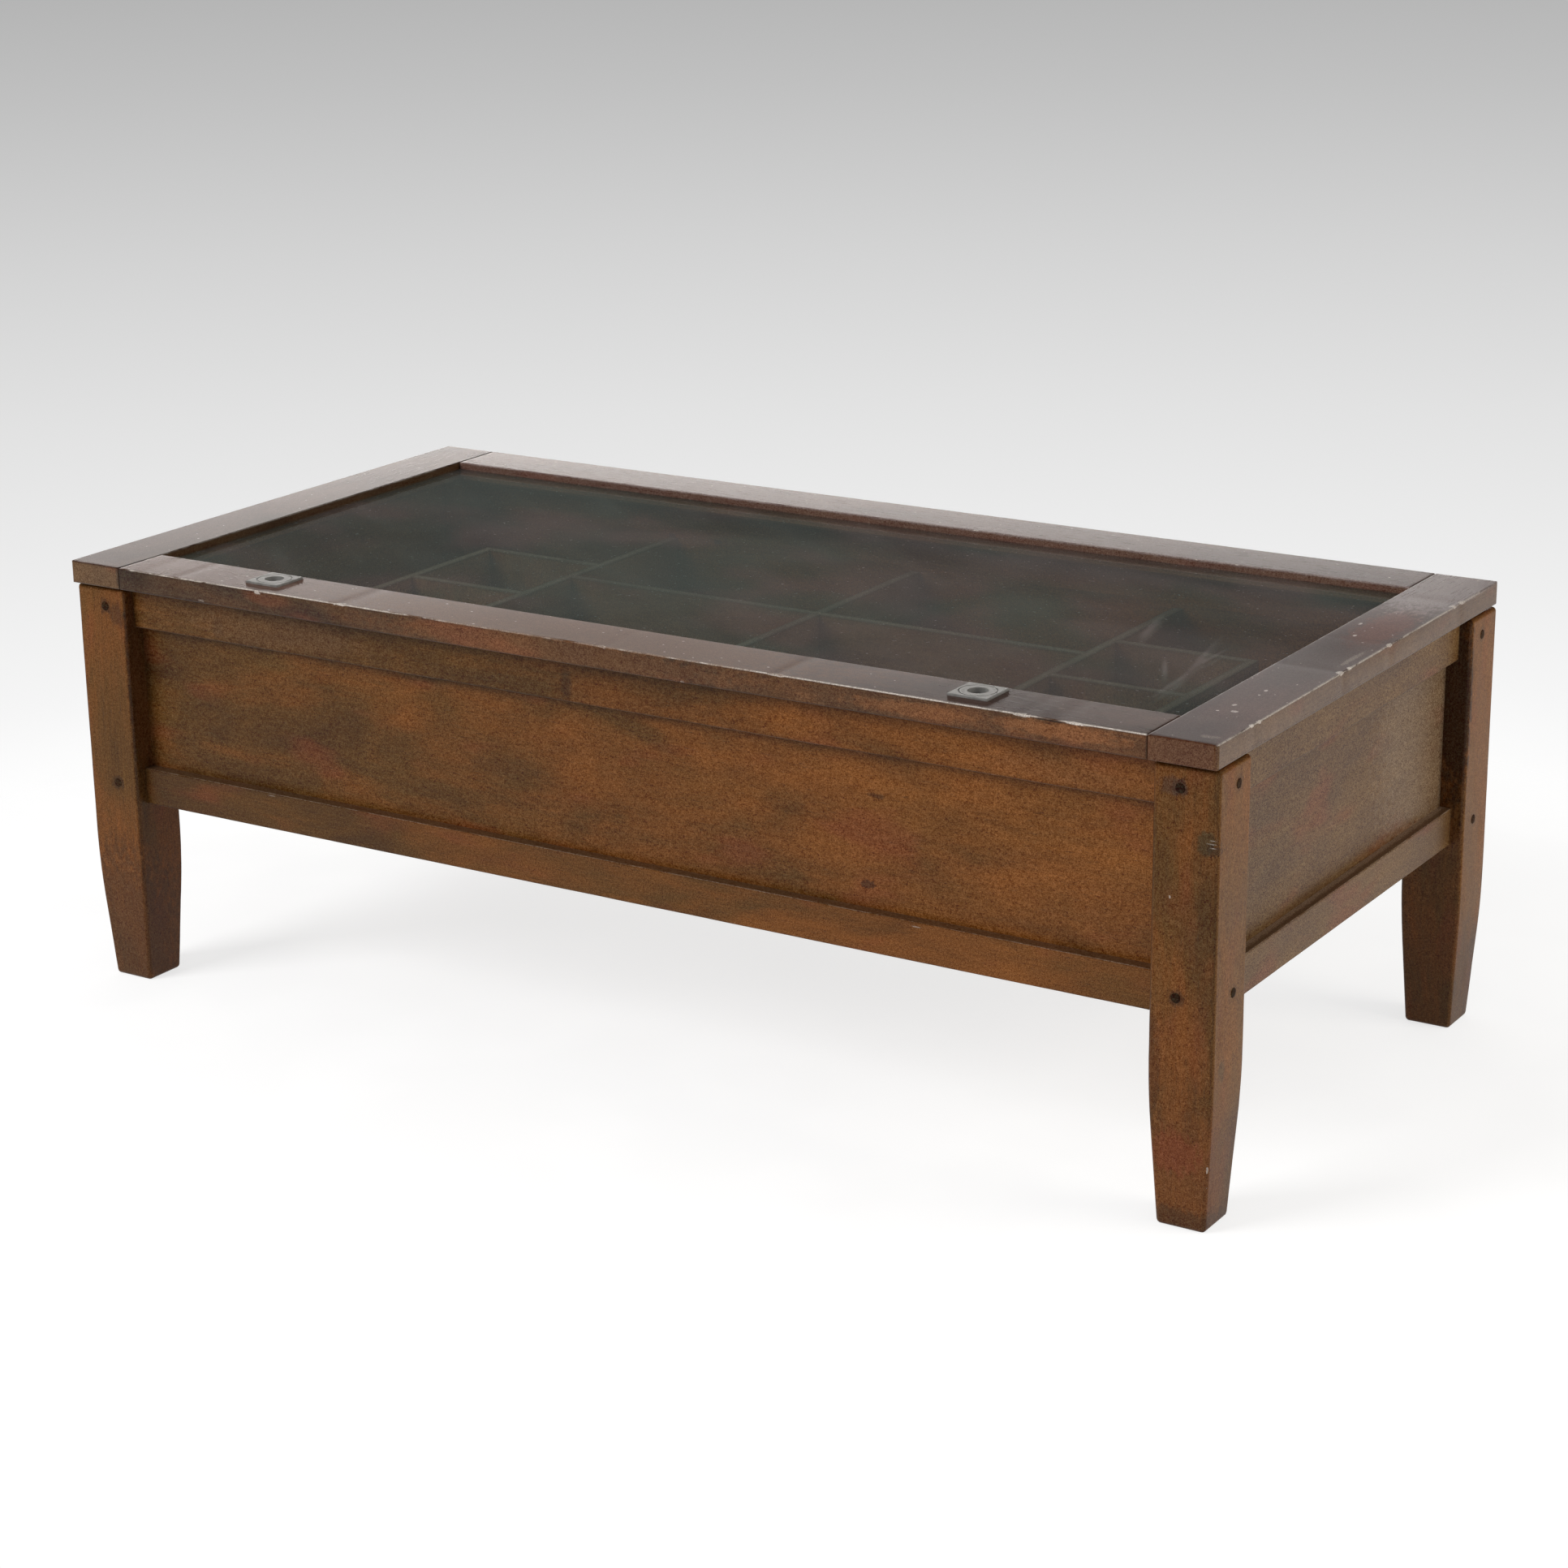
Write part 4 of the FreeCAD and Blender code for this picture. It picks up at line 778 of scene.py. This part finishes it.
def worn_away(point, centre, rub, seed, chips):
    """The point moved towards the bar's middle where its edges are rubbed or chipped."""
    rubbed = noise.noise(point * RUBS_PER_METRE + Vector((seed, 0, 0)))
    nicked = noise.noise(point * NICKS_PER_METRE + Vector((0, seed, 0)))
    amount = rub * (0.45 * max(0.0, rubbed + 0.1) + 0.35 * max(0.0, nicked))
    for chip, size, depth in chips:
        away = (point - chip * MM).length / (size * MM)
        amount += depth * MM * max(0.0, 1 - away) * (0.7 + 0.6 * abs(nicked))
    return point + (centre - point).normalized() * amount


def close_rings(mesh, rings):
    """Joins each ring of corners to the next, all the way round."""
    count = len(rings[0])
    for ring, following in zip(rings, rings[1:]):
        for index in range(count):
            after = (index + 1) % count
            mesh.faces.new((ring[index], ring[after], following[after], following[index]))


def bar(name, low, high, axis, radius, spacing=STATION_STEP, half=None, rub=0.0, seed=0.0, chips=()):
    """A square bar with rounded, rubbed edges. half gives its half width at a place, if it tapers."""
    side_u, side_v = axes_across(axis)
    mesh = bmesh.new()
    rings = []
    for place, inset in stations(low[axis], high[axis], radius, spacing):
        half_u = half(place) if half else (high[side_u] - low[side_u]) / 2
        half_v = half(place) if half else (high[side_v] - low[side_v]) / 2
        centre = (low + high) / 2
        centre[axis] = place
        rounding = max(radius - inset, radius * SMALLEST_ROUND)
        ring = []
        for u, v in rounded_ring(half_u - inset, half_v - inset, rounding):
            point = centre.copy()
            point[side_u] += u
            point[side_v] += v
            if rub:
                point = worn_away(point, centre, rub, seed, chips)
            ring.append(mesh.verts.new(point))
        rings.append(ring)
    close_rings(mesh, rings)
    mesh.faces.new(rings[0])
    mesh.faces.new(rings[-1])
    return as_object(name, mesh)


def smooth(piece):
    """Shades the piece smooth, with flat faces that still look flat."""
    for face in piece.data.polygons:
        face.use_smooth = True
    even = piece.modifiers.new("even_normals", "WEIGHTED_NORMAL")
    even.keep_sharp = True


def linked(name, data):
    """A new object in the scene."""
    made = bpy.data.objects.new(name, data)
    bpy.context.scene.collection.objects.link(made)
    return made


def as_object(name, mesh):
    bmesh.ops.recalc_face_normals(mesh, faces=mesh.faces)
    data = bpy.data.meshes.new(name)
    mesh.to_mesh(data)
    mesh.free()
    made = linked(name, data)
    smooth(made)
    return made


def carve(piece, cutter):
    """Cuts the cutter out of the piece, and removes the cutter."""
    piece.modifiers.clear()
    cut = piece.modifiers.new("cut", "BOOLEAN")
    cut.operation = "DIFFERENCE"
    cut.solver = "EXACT"
    cut.object = cutter
    graph = bpy.context.evaluated_depsgraph_get()
    graph.update()
    carved = bpy.data.meshes.new_from_object(piece.evaluated_get(graph))
    piece.modifiers.clear()
    piece.data = carved
    sharp = bmesh.new()
    sharp.from_mesh(carved)
    for edge in sharp.edges:
        edge.smooth = edge.calc_face_angle(0.0) < SHARP_ANGLE
    sharp.to_mesh(carved)
    sharp.free()
    smooth(piece)
    bpy.data.objects.remove(cutter)


def cutter_box(low, high):
    mesh = bmesh.new()
    bmesh.ops.create_cube(mesh, size=1)
    for vertex in mesh.verts:
        for axis in (X, Y, Z):
            vertex.co[axis] = low[axis] if vertex.co[axis] < 0 else high[axis]
    return as_object("cutter", mesh)


def cutter_corner(corner, radius, low, high):
    """A post with one hollow side, which leaves the piece a round upright corner."""
    sign_x = math.copysign(1, corner[X])
    sign_y = math.copysign(1, corner[Y])
    outline = [(radius, -OVERSHOOT), (-OVERSHOOT, -OVERSHOOT), (-OVERSHOOT, radius)]
    for step in range(1, 2 * CORNER_STEPS):
        angle = QUARTER_TURN * step / (2 * CORNER_STEPS)
        outline.append((radius * (1 - math.cos(angle)), radius * (1 - math.sin(angle))))
    mesh = bmesh.new()
    floor = [mesh.verts.new((corner[X] - sign_x * u, corner[Y] - sign_y * v, low)) for u, v in outline]
    roof = [mesh.verts.new((*vertex.co.xy, high)) for vertex in floor]
    close_rings(mesh, [floor, roof])
    mesh.faces.new(floor)
    mesh.faces.new(roof)
    return as_object("cutter", mesh)


def cutter_rod(centre, radius, low, high):
    mesh = bmesh.new()
    size = {"radius1": radius, "radius2": radius, "depth": high - low}
    bmesh.ops.create_cone(mesh, cap_ends=True, segments=ROD_SIDES, **size)
    bmesh.ops.translate(mesh, verts=mesh.verts, vec=(centre[X], centre[Y], (low + high) / 2))
    return as_object("cutter", mesh)


def dress(piece, material, body, slot, *nodes):
    piece.data.materials.clear()
    piece.data.materials.append(material)
    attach(piece, body)
    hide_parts(*nodes)


def dress_node(node, material):
    """Gives a CAD node's object that material in all its slots."""
    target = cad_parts[node]
    for slot in target.material_slots:
        slot.material = material
    if not target.material_slots:
        target.data.materials.append(material)


def marks_on(node):
    """The single marks on a node's wood, in metres."""
    rows = MARKS.get(node, ())
    return [(colour, in_metres(centre), in_metres(size), strength) for colour, centre, size, strength in rows]


def changed(corner, **values):
    """A copy of the corner with the named coordinates changed."""
    made = Vector(corner)
    for name, value in values.items():
        made["xyz".index(name)] = value
    return made


LEG_NODES = ("leg_front_left", "leg_front_right", "leg_back_left", "leg_back_right")
LEGS = {node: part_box(node) for node in LEG_NODES}
INNER_LEFT = LEGS["leg_front_left"][1].x
INNER_RIGHT = LEGS["leg_front_right"][0].x
INNER_FRONT = LEGS["leg_front_left"][1].y
INNER_BACK = LEGS["leg_back_left"][0].y
LEG_HALF = (INNER_LEFT - LEGS["leg_front_left"][0].x) / 2
LEDGE_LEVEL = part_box("bottom_rail_front")[1].z
TOP_RAIL_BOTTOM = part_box("top_rail_front")[0].z
SIDES = ("front", "right", "back", "left")
LONG_SIDES = ("front", "back")


def leg_half(level):
    """Half the leg's width at that height: square above, a smooth curve, then a straight taper."""
    if level >= TAPER_TOP:
        return LEG_HALF
    curve = TAPER_TOP - TAPER_STRAIGHT
    if level >= TAPER_STRAIGHT:
        return LEG_HALF - TAPER_SLOPE * (TAPER_TOP - level) ** 2 / (2 * curve)
    return LEG_HALF - TAPER_SLOPE * curve / 2 - TAPER_SLOPE * (TAPER_STRAIGHT - level)


def peg_places(node):
    """(centre on the leg's face, axis, outward sign) of the four pegs that show on a leg."""
    low, high = LEGS[node]
    outward_x = 1 if high.x > 0 else -1
    outward_y = 1 if high.y > 0 else -1
    face_x = high.x if outward_x > 0 else low.x
    face_y = high.y if outward_y > 0 else low.y
    places = []
    for level in PEG_LEVELS:
        on_long_side = Vector((face_x - outward_x * PEG_FROM_CORNER, face_y, level))
        on_end = Vector((face_x, face_y - outward_y * PEG_FROM_CORNER, level))
        places.append((on_long_side, Y, outward_y))
        places.append((on_end, X, outward_x))
    return places


def leg_marks(node):
    """Dark halos round the pegs, painted shade on the foot, a browner face on the right end, a painted tint
    that offsets the light from that side, and the leg's own marks.
    """
    low, high = LEGS[node]
    halo = (9 * MM,) * 3
    marks = [(DARK_GLAZE_AND_SHADE, tuple(centre), halo, 0.55) for centre, axis, sign in peg_places(node)]
    # Painted shade darkens the foot.
    marks.append((DARK_GLAZE_AND_SHADE, ((low.x + high.x) / 2, (low.y + high.y) / 2, 0.0), (0.2, 0.2, 0.14), 0.22))
    if high.x > 0:
        # A painted tint on the right face, which offsets the light from that side.
        marks.append((LEG_END, (high.x + 1.5 * MM, low.y, TAPER_TOP), (3.5 * MM, 0.4, 0.8), 0.42))
    return marks + marks_on(node)


def make_leg(node, seed):
    low, high = LEGS[node]
    seen = changed(low, z=-1), high
    material = wood(node + "_wood", Z, seed, LEG_TONES, seen, marks=leg_marks(node), **LEG_LOOK)
    piece = bar(node + "_piece", low, high, Z, LEG_ROUND, half=leg_half, rub=LEG_RUB, seed=seed)
    dress(piece, material, "case", "case_wood", node)


def grain_of(side):
    return X if side in LONG_SIDES else Y


def side_box(node, side, hidden):
    """The box of a rail or panel, from leg face to leg face, reaching hidden into the legs at each end."""
    low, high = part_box(node)
    if side in LONG_SIDES:
        return changed(low, x=INNER_LEFT - hidden), changed(high, x=INNER_RIGHT + hidden)
    return changed(low, y=INNER_FRONT - hidden), changed(high, y=INNER_BACK + hidden)


def make_side(node, side, seed, seen, radius, rub, warm, **changes):
    """A rail or panel: golden and lighter to the right on the long sides, greyer on the ends, where the grey
    is partly painted sheen.
    """
    tones, look = END_TONES_WITH_SHEEN, END_LOOK
    if side in LONG_SIDES:
        tones, look = FRONT_TONES, {"warm": warm, **FRONT_LOOK}
    grain = grain_of(side)
    material = wood(node + "_wood", grain, seed, tones, seen, glaze_width=3 * MM, **look, **changes)
    piece = bar(node + "_piece", *side_box(node, side, HIDDEN_END), grain, radius, rub=rub, seed=seed)
    dress(piece, material, "case", "case_wood", node)


def make_rail(kind, side, seed):
    node = f"{kind}_rail_{side}"
    ledge = (LEDGE_LEVEL, LEDGE_DIRT_AND_SHADE) if kind == "bottom" else None
    marks = marks_on(node)
    if ledge and side not in LONG_SIDES:
        panel_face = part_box(f"panel_{side}")[side == "right"].x
        # Painted light: a paler end ledge by the panel, which cancels the shade in that corner.
        marks.append((LEDGE_PAINTED_LIGHT, (panel_face, 0.0, LEDGE_LEVEL), (6 * MM, 1, 2 * MM), 0.85))
    make_side(node, side, seed, side_box(node, side, 0.0), RAIL_ROUND, RAIL_RUB, warm=0.12,
              glaze=0.15 if ledge else 0.4, worn=0.2, ledge=ledge, marks=marks)


def make_panel(side, seed):
    node = f"panel_{side}"
    low, high = side_box(node, side, 0.0)
    seen = changed(low, z=LEDGE_LEVEL), changed(high, z=TOP_RAIL_BOTTOM)
    make_side(node, side, seed, seen, PANEL_ROUND, rub=0.0, warm=0.14, glaze=0.12, marks=marks_on(node))


def make_pegs(seed):
    """The sixteen pegs as one piece: low domes with worn rims."""
    mesh = bmesh.new()
    number = 0
    for node in LEG_NODES:
        for centre, axis, sign in peg_places(node):
            number += 1
            add_peg(mesh, centre, axis, sign, number)
    piece = as_object("joint_pegs_piece", mesh)
    low, high = CAD_BOX
    far_off = Vector((1, 1, 1))
    material = wood("peg_wood", X, seed, PEG_TONES, (low - far_off, high + far_off), **PEG_LOOK)
    dress(piece, material, "case", "peg_wood", "joint_pegs")


def add_peg(mesh, centre, axis, sign, number):
    """One peg: a wall sunk in the leg and a dome of a few rings, a little out of round."""
    side_u, side_v = axes_across(axis)
    profile = [(-PEG_SUNK, PEG_RADIUS)]
    for ring in range(PEG_RINGS):
        angle = QUARTER_TURN * ring / PEG_RINGS
        profile.append((PEG_PROUD * math.sin(angle), PEG_RADIUS * math.cos(angle) ** 0.5))
    rings = []
    for height, radius in profile:
        ring = []
        for side in range(PEG_SIDES):
            angle = 2 * math.pi * side / PEG_SIDES
            uneven = 1 - PEG_UNEVEN * abs(math.sin(angle * 1.5 + number))
            point = centre.copy()
            point[axis] += sign * height
            point[side_u] += radius * uneven * math.cos(angle)
            point[side_v] += radius * uneven * math.sin(angle)
            ring.append(mesh.verts.new(point))
        rings.append(ring)
    close_rings(mesh, rings)
    tip = centre.copy()
    tip[axis] += sign * PEG_PROUD
    crown = mesh.verts.new(tip)
    for side in range(PEG_SIDES):
        mesh.faces.new((rings[-1][side], rings[-1][(side + 1) % PEG_SIDES], crown))
    mesh.faces.new(rings[0])


def plate_centre(side):
    low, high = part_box(f"finger_plate_{side}")
    return (low + high) / 2


def make_lid_rail(side, seed):
    node = f"lid_rail_{side}"
    low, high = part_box(node)
    front = side == "front"
    grain = grain_of(side)
    if grain == X:
        low = changed(low, x=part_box("lid_rail_left")[1].x)
        high = changed(high, x=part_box("lid_rail_right")[0].x)
    # The side tones of the lid carry part of a painted sheen.
    tones = LID_TONES if front else LID_SIDE_TONES_WITH_SHEEN
    # The right rail's top takes a darker copy of the top tones, painted shade.
    top_tones = RIGHT_TOP_SHADED_TONES if side == "right" else LID_TOP_TONES_WITH_SHEEN
    material = wood(node + "_wood", grain, seed, tones, (low, high), warm=0.15 if grain == X else 0.0,
                    worn=LID_WEAR_AND_GLINT[side], rub_lean=0.12 if front else 0.0, marks=marks_on(node),
                    dull=LID_DULL.get(node, ()), top=(high.z, top_tones), **LID_LOOK)
    chips = []
    for along, size, depth in LID_CHIPS.get(side, ()):
        place = Vector(CHIPPED_CORNER)
        place[grain] = along
        chips.append((place, size, depth))
    piece = bar(node + "_piece", low, high, grain, LID_ROUND, LID_STATION_STEP, rub=LID_RUB, seed=seed,
                chips=chips)
    below, over = low.z - OVERSHOOT, high.z + OVERSHOOT
    pane_low, pane_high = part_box("glass_pane")
    carve(piece, cutter_box(changed(pane_low, z=below), pane_high))
    if grain == Y:
        outer = high.x if side == "right" else low.x
        for end in (low.y, high.y):
            carve(piece, cutter_corner((outer, end), LID_CORNER, below, over))
    if front:
        for plate in ("left", "right"):
            carve(piece, cutter_rod(plate_centre(plate), FERRULE_RADIUS, below, over))
    dress(piece, material, "lid", "lid_wood", node)


def make_case():
    for number, node in enumerate(LEG_NODES):
        make_leg(node, 11 + number)
    for number, side in enumerate(SIDES):
        make_rail("top", side, 21 + number)
        make_rail("bottom", side, 26 + number)
        make_panel(side, 31 + number)
    make_pegs(41)


def make_lid():
    for number, side in enumerate(SIDES):
        make_lid_rail(side, 51 + number)


def node_wood(node, seed, tones, top_tones=None):
    """Wood for a CAD node that stays, with its grain along its longest side."""
    low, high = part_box(node)
    size = high - low
    grain = max((X, Y, Z), key=lambda axis: size[axis])
    top = (high.z + 0.3 * MM, top_tones) if top_tones else None
    return wood(node + "_wood", grain, seed, tones, (low, high), top=top, **INNER_LOOK)


def dress_nodes():
    """Materials for the CAD nodes that stay as they are."""
    rings = [tuple(plate_centre(side)) for side in ("left", "right")]
    zinc = metal("zinc", ZINC, DULL_ZINC, 0.4, 0.6, 61, rings)
    brass = metal("aged_brass", BRASS, DARK_BRASS, 0.4, 0.9, 64)
    steel = metal("dark_steel", STEEL, DARK_STEEL, 0.45, 0.9, 67)
    for number, node in enumerate(sorted(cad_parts)):
        if node.startswith(("leg_", "joint_pegs", "top_rail", "bottom_rail", "panel_", "lid_rail")):
            continue
        if node.startswith("finger_plate"):
            material = zinc
        elif "screws" in node:
            material = steel
        elif node.startswith("hinge"):
            material = brass
        elif node == "glass_pane":
            material = glass()
        elif node == "lid_bumpers":
            material = felt()
        elif node.startswith("divider"):
            material = node_wood(node, 70 + number, DIVIDER_TONES, DIVIDER_TOP_TONES)
        else:
            material = node_wood(node, 70 + number, INNER_TONES)
        dress_node(node, material)


# Light: the fill lights every side evenly, and the lamps shape it.
FILL = (0.42, 0.42, 0.42, 1)
FLOOR_REACH = 1.5
FLOOR_FADE = 0.8
FLOOR_GREYS = ((0.36, 0.36, 0.36, 1), (0.38, 0.38, 0.38, 1))
FLOOR_GLOW = 0.72
FLOOR_FOR_LIGHT = (0.7, 0.7, 0.7, 1)
# How light the backdrop is where the view looks up or down by that much: (upward part, shade).
BACKDROP_STOPS = (
    (-0.312, 1), (-0.199, 0.761), (-0.155, 0.651), (-0.11, 0.527), (0, 0.26), (0.08, 0.12), (0.18, 0.08),
)
BACKDROP_LOWEST = -0.4
BACKDROP_SPAN = 0.6


def make_world():
    """A plain even fill for the light, and a pale backdrop that darkens upwards for what is seen."""
    world = bpy.data.worlds.new("studio")
    graph = Graph(world)
    bpy.context.scene.world = world
    upward = graph.parts(graph.add("TexCoord").outputs["Generated"])[Z]
    scaled = graph.math("DIVIDE", graph.minus(upward, BACKDROP_LOWEST), BACKDROP_SPAN)
    stops = [((level - BACKDROP_LOWEST) / BACKDROP_SPAN, (shade, shade, shade, 1))
             for level, shade in BACKDROP_STOPS]
    backdrop = graph.add("Background", {"Color": graph.ramp(scaled, stops)})
    fill = graph.add("Background", {"Color": FILL})
    graph.finish(graph.blend(graph.shown_ray(), fill, backdrop), "OutputWorld")


def make_floor():
    """A pale floor that keeps the table's shadow and fades into the backdrop."""
    mesh = bmesh.new()
    bmesh.ops.create_grid(mesh, x_segments=2, y_segments=2, size=FLOOR_REACH)
    floor = as_object("floor", mesh)
    material, graph = new_material("pale_floor")
    place = graph.place()
    mottle = graph.noise(graph.vector("MULTIPLY", place, (5, 5, 5)), 2)
    matt = graph.mix(graph.fade(mottle, 0.4, 0.6), *FLOOR_GREYS)
    shade = graph.add("BsdfDiffuse", {"Color": matt})
    glow = graph.add("Emission", {"Color": (1, 1, 1, 1), "Strength": FLOOR_GLOW})
    seen = graph.add("AddShader", {0: shade.outputs[0], 1: glow.outputs[0]})
    plain = graph.add("BsdfDiffuse", {"Color": FLOOR_FOR_LIGHT})
    floor_shader = graph.blend(graph.shown_ray(), plain, seen)
    away = graph.length(graph.vector("MULTIPLY", place, (1, 1, 0)))
    clear = graph.add("BsdfTransparent")
    graph.finish(graph.blend(graph.fade(away, FLOOR_FADE, FLOOR_REACH), floor_shader, clear))
    floor.data.materials.append(material)


def make_lamp(name, place, target, width, height, power, colour=(1, 1, 1), mirrored=False):
    """A soft lamp. Only one that is mirrored shows as a bright shape in the glass and in waxed wood."""
    light = bpy.data.lights.new(name, "AREA")
    light.shape = "RECTANGLE"
    light.size = width
    light.size_y = height
    light.energy = power
    light.color = colour
    lamp = linked(name, light)
    lamp.location = place
    lamp.rotation_euler = (Vector(target) - Vector(place)).to_track_quat("-Z", "Y").to_euler()
    lamp.visible_camera = False
    lamp.visible_glossy = mirrored
    return lamp


def make_lamps():
    make_lamp("front_key", (-2.4, -4.0, 3.0), (0, 0, 0.3), width=2.4, height=2.4, power=190)
    make_lamp("end_light", (3.8, 0.6, 1.4), (0.6, 0, 0.3), width=2.0, height=2.0, power=70,
              colour=(1, 0.96, 0.88))
    sheen = make_lamp("sheen", (-2.5, 3.7, 1.02), (0, 0, 0.44), width=3.6, height=0.36, power=30,
                      colour=(1, 0.96, 0.93), mirrored=True)
    # The sheen is there for the waxed lid: from low in front, the glass would show it as a white sheet.
    unlit = bpy.data.collections.new("not_lit_by_sheen")
    unlit.objects.link(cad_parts["glass_pane"])
    unlit.collection_objects[0].light_linking.link_state = "EXCLUDE"
    sheen.light_linking.receiver_collection = unlit


def make_camera():
    data = bpy.data.cameras.new("photo_camera")
    data.sensor_width = SENSOR_WIDTH
    data.lens = FOCAL_PIXELS / PHOTO_WIDTH * SENSOR_WIDTH
    data.clip_end = CAMERA_REACH
    camera = linked("photo_camera", data)
    flat = math.cos(CAMERA_PITCH)
    forward = Vector((-math.sin(CAMERA_YAW) * flat, math.cos(CAMERA_YAW) * flat, math.sin(CAMERA_PITCH)))
    right = Vector((math.cos(CAMERA_YAW), math.sin(CAMERA_YAW), 0))
    up = right.cross(forward)
    rolled_right = right * math.cos(CAMERA_ROLL) + up * math.sin(CAMERA_ROLL)
    rolled_up = up * math.cos(CAMERA_ROLL) - right * math.sin(CAMERA_ROLL)
    turn = Matrix((rolled_right, rolled_up, -forward)).transposed().to_4x4()
    camera.matrix_world = Matrix.Translation(CAMERA_PLACE) @ turn
    bpy.context.scene.camera = camera


make_case()
make_lid()
dress_nodes()
make_world()
make_floor()
make_lamps()
make_camera()
bpy.context.scene.view_settings.view_transform = "Standard"
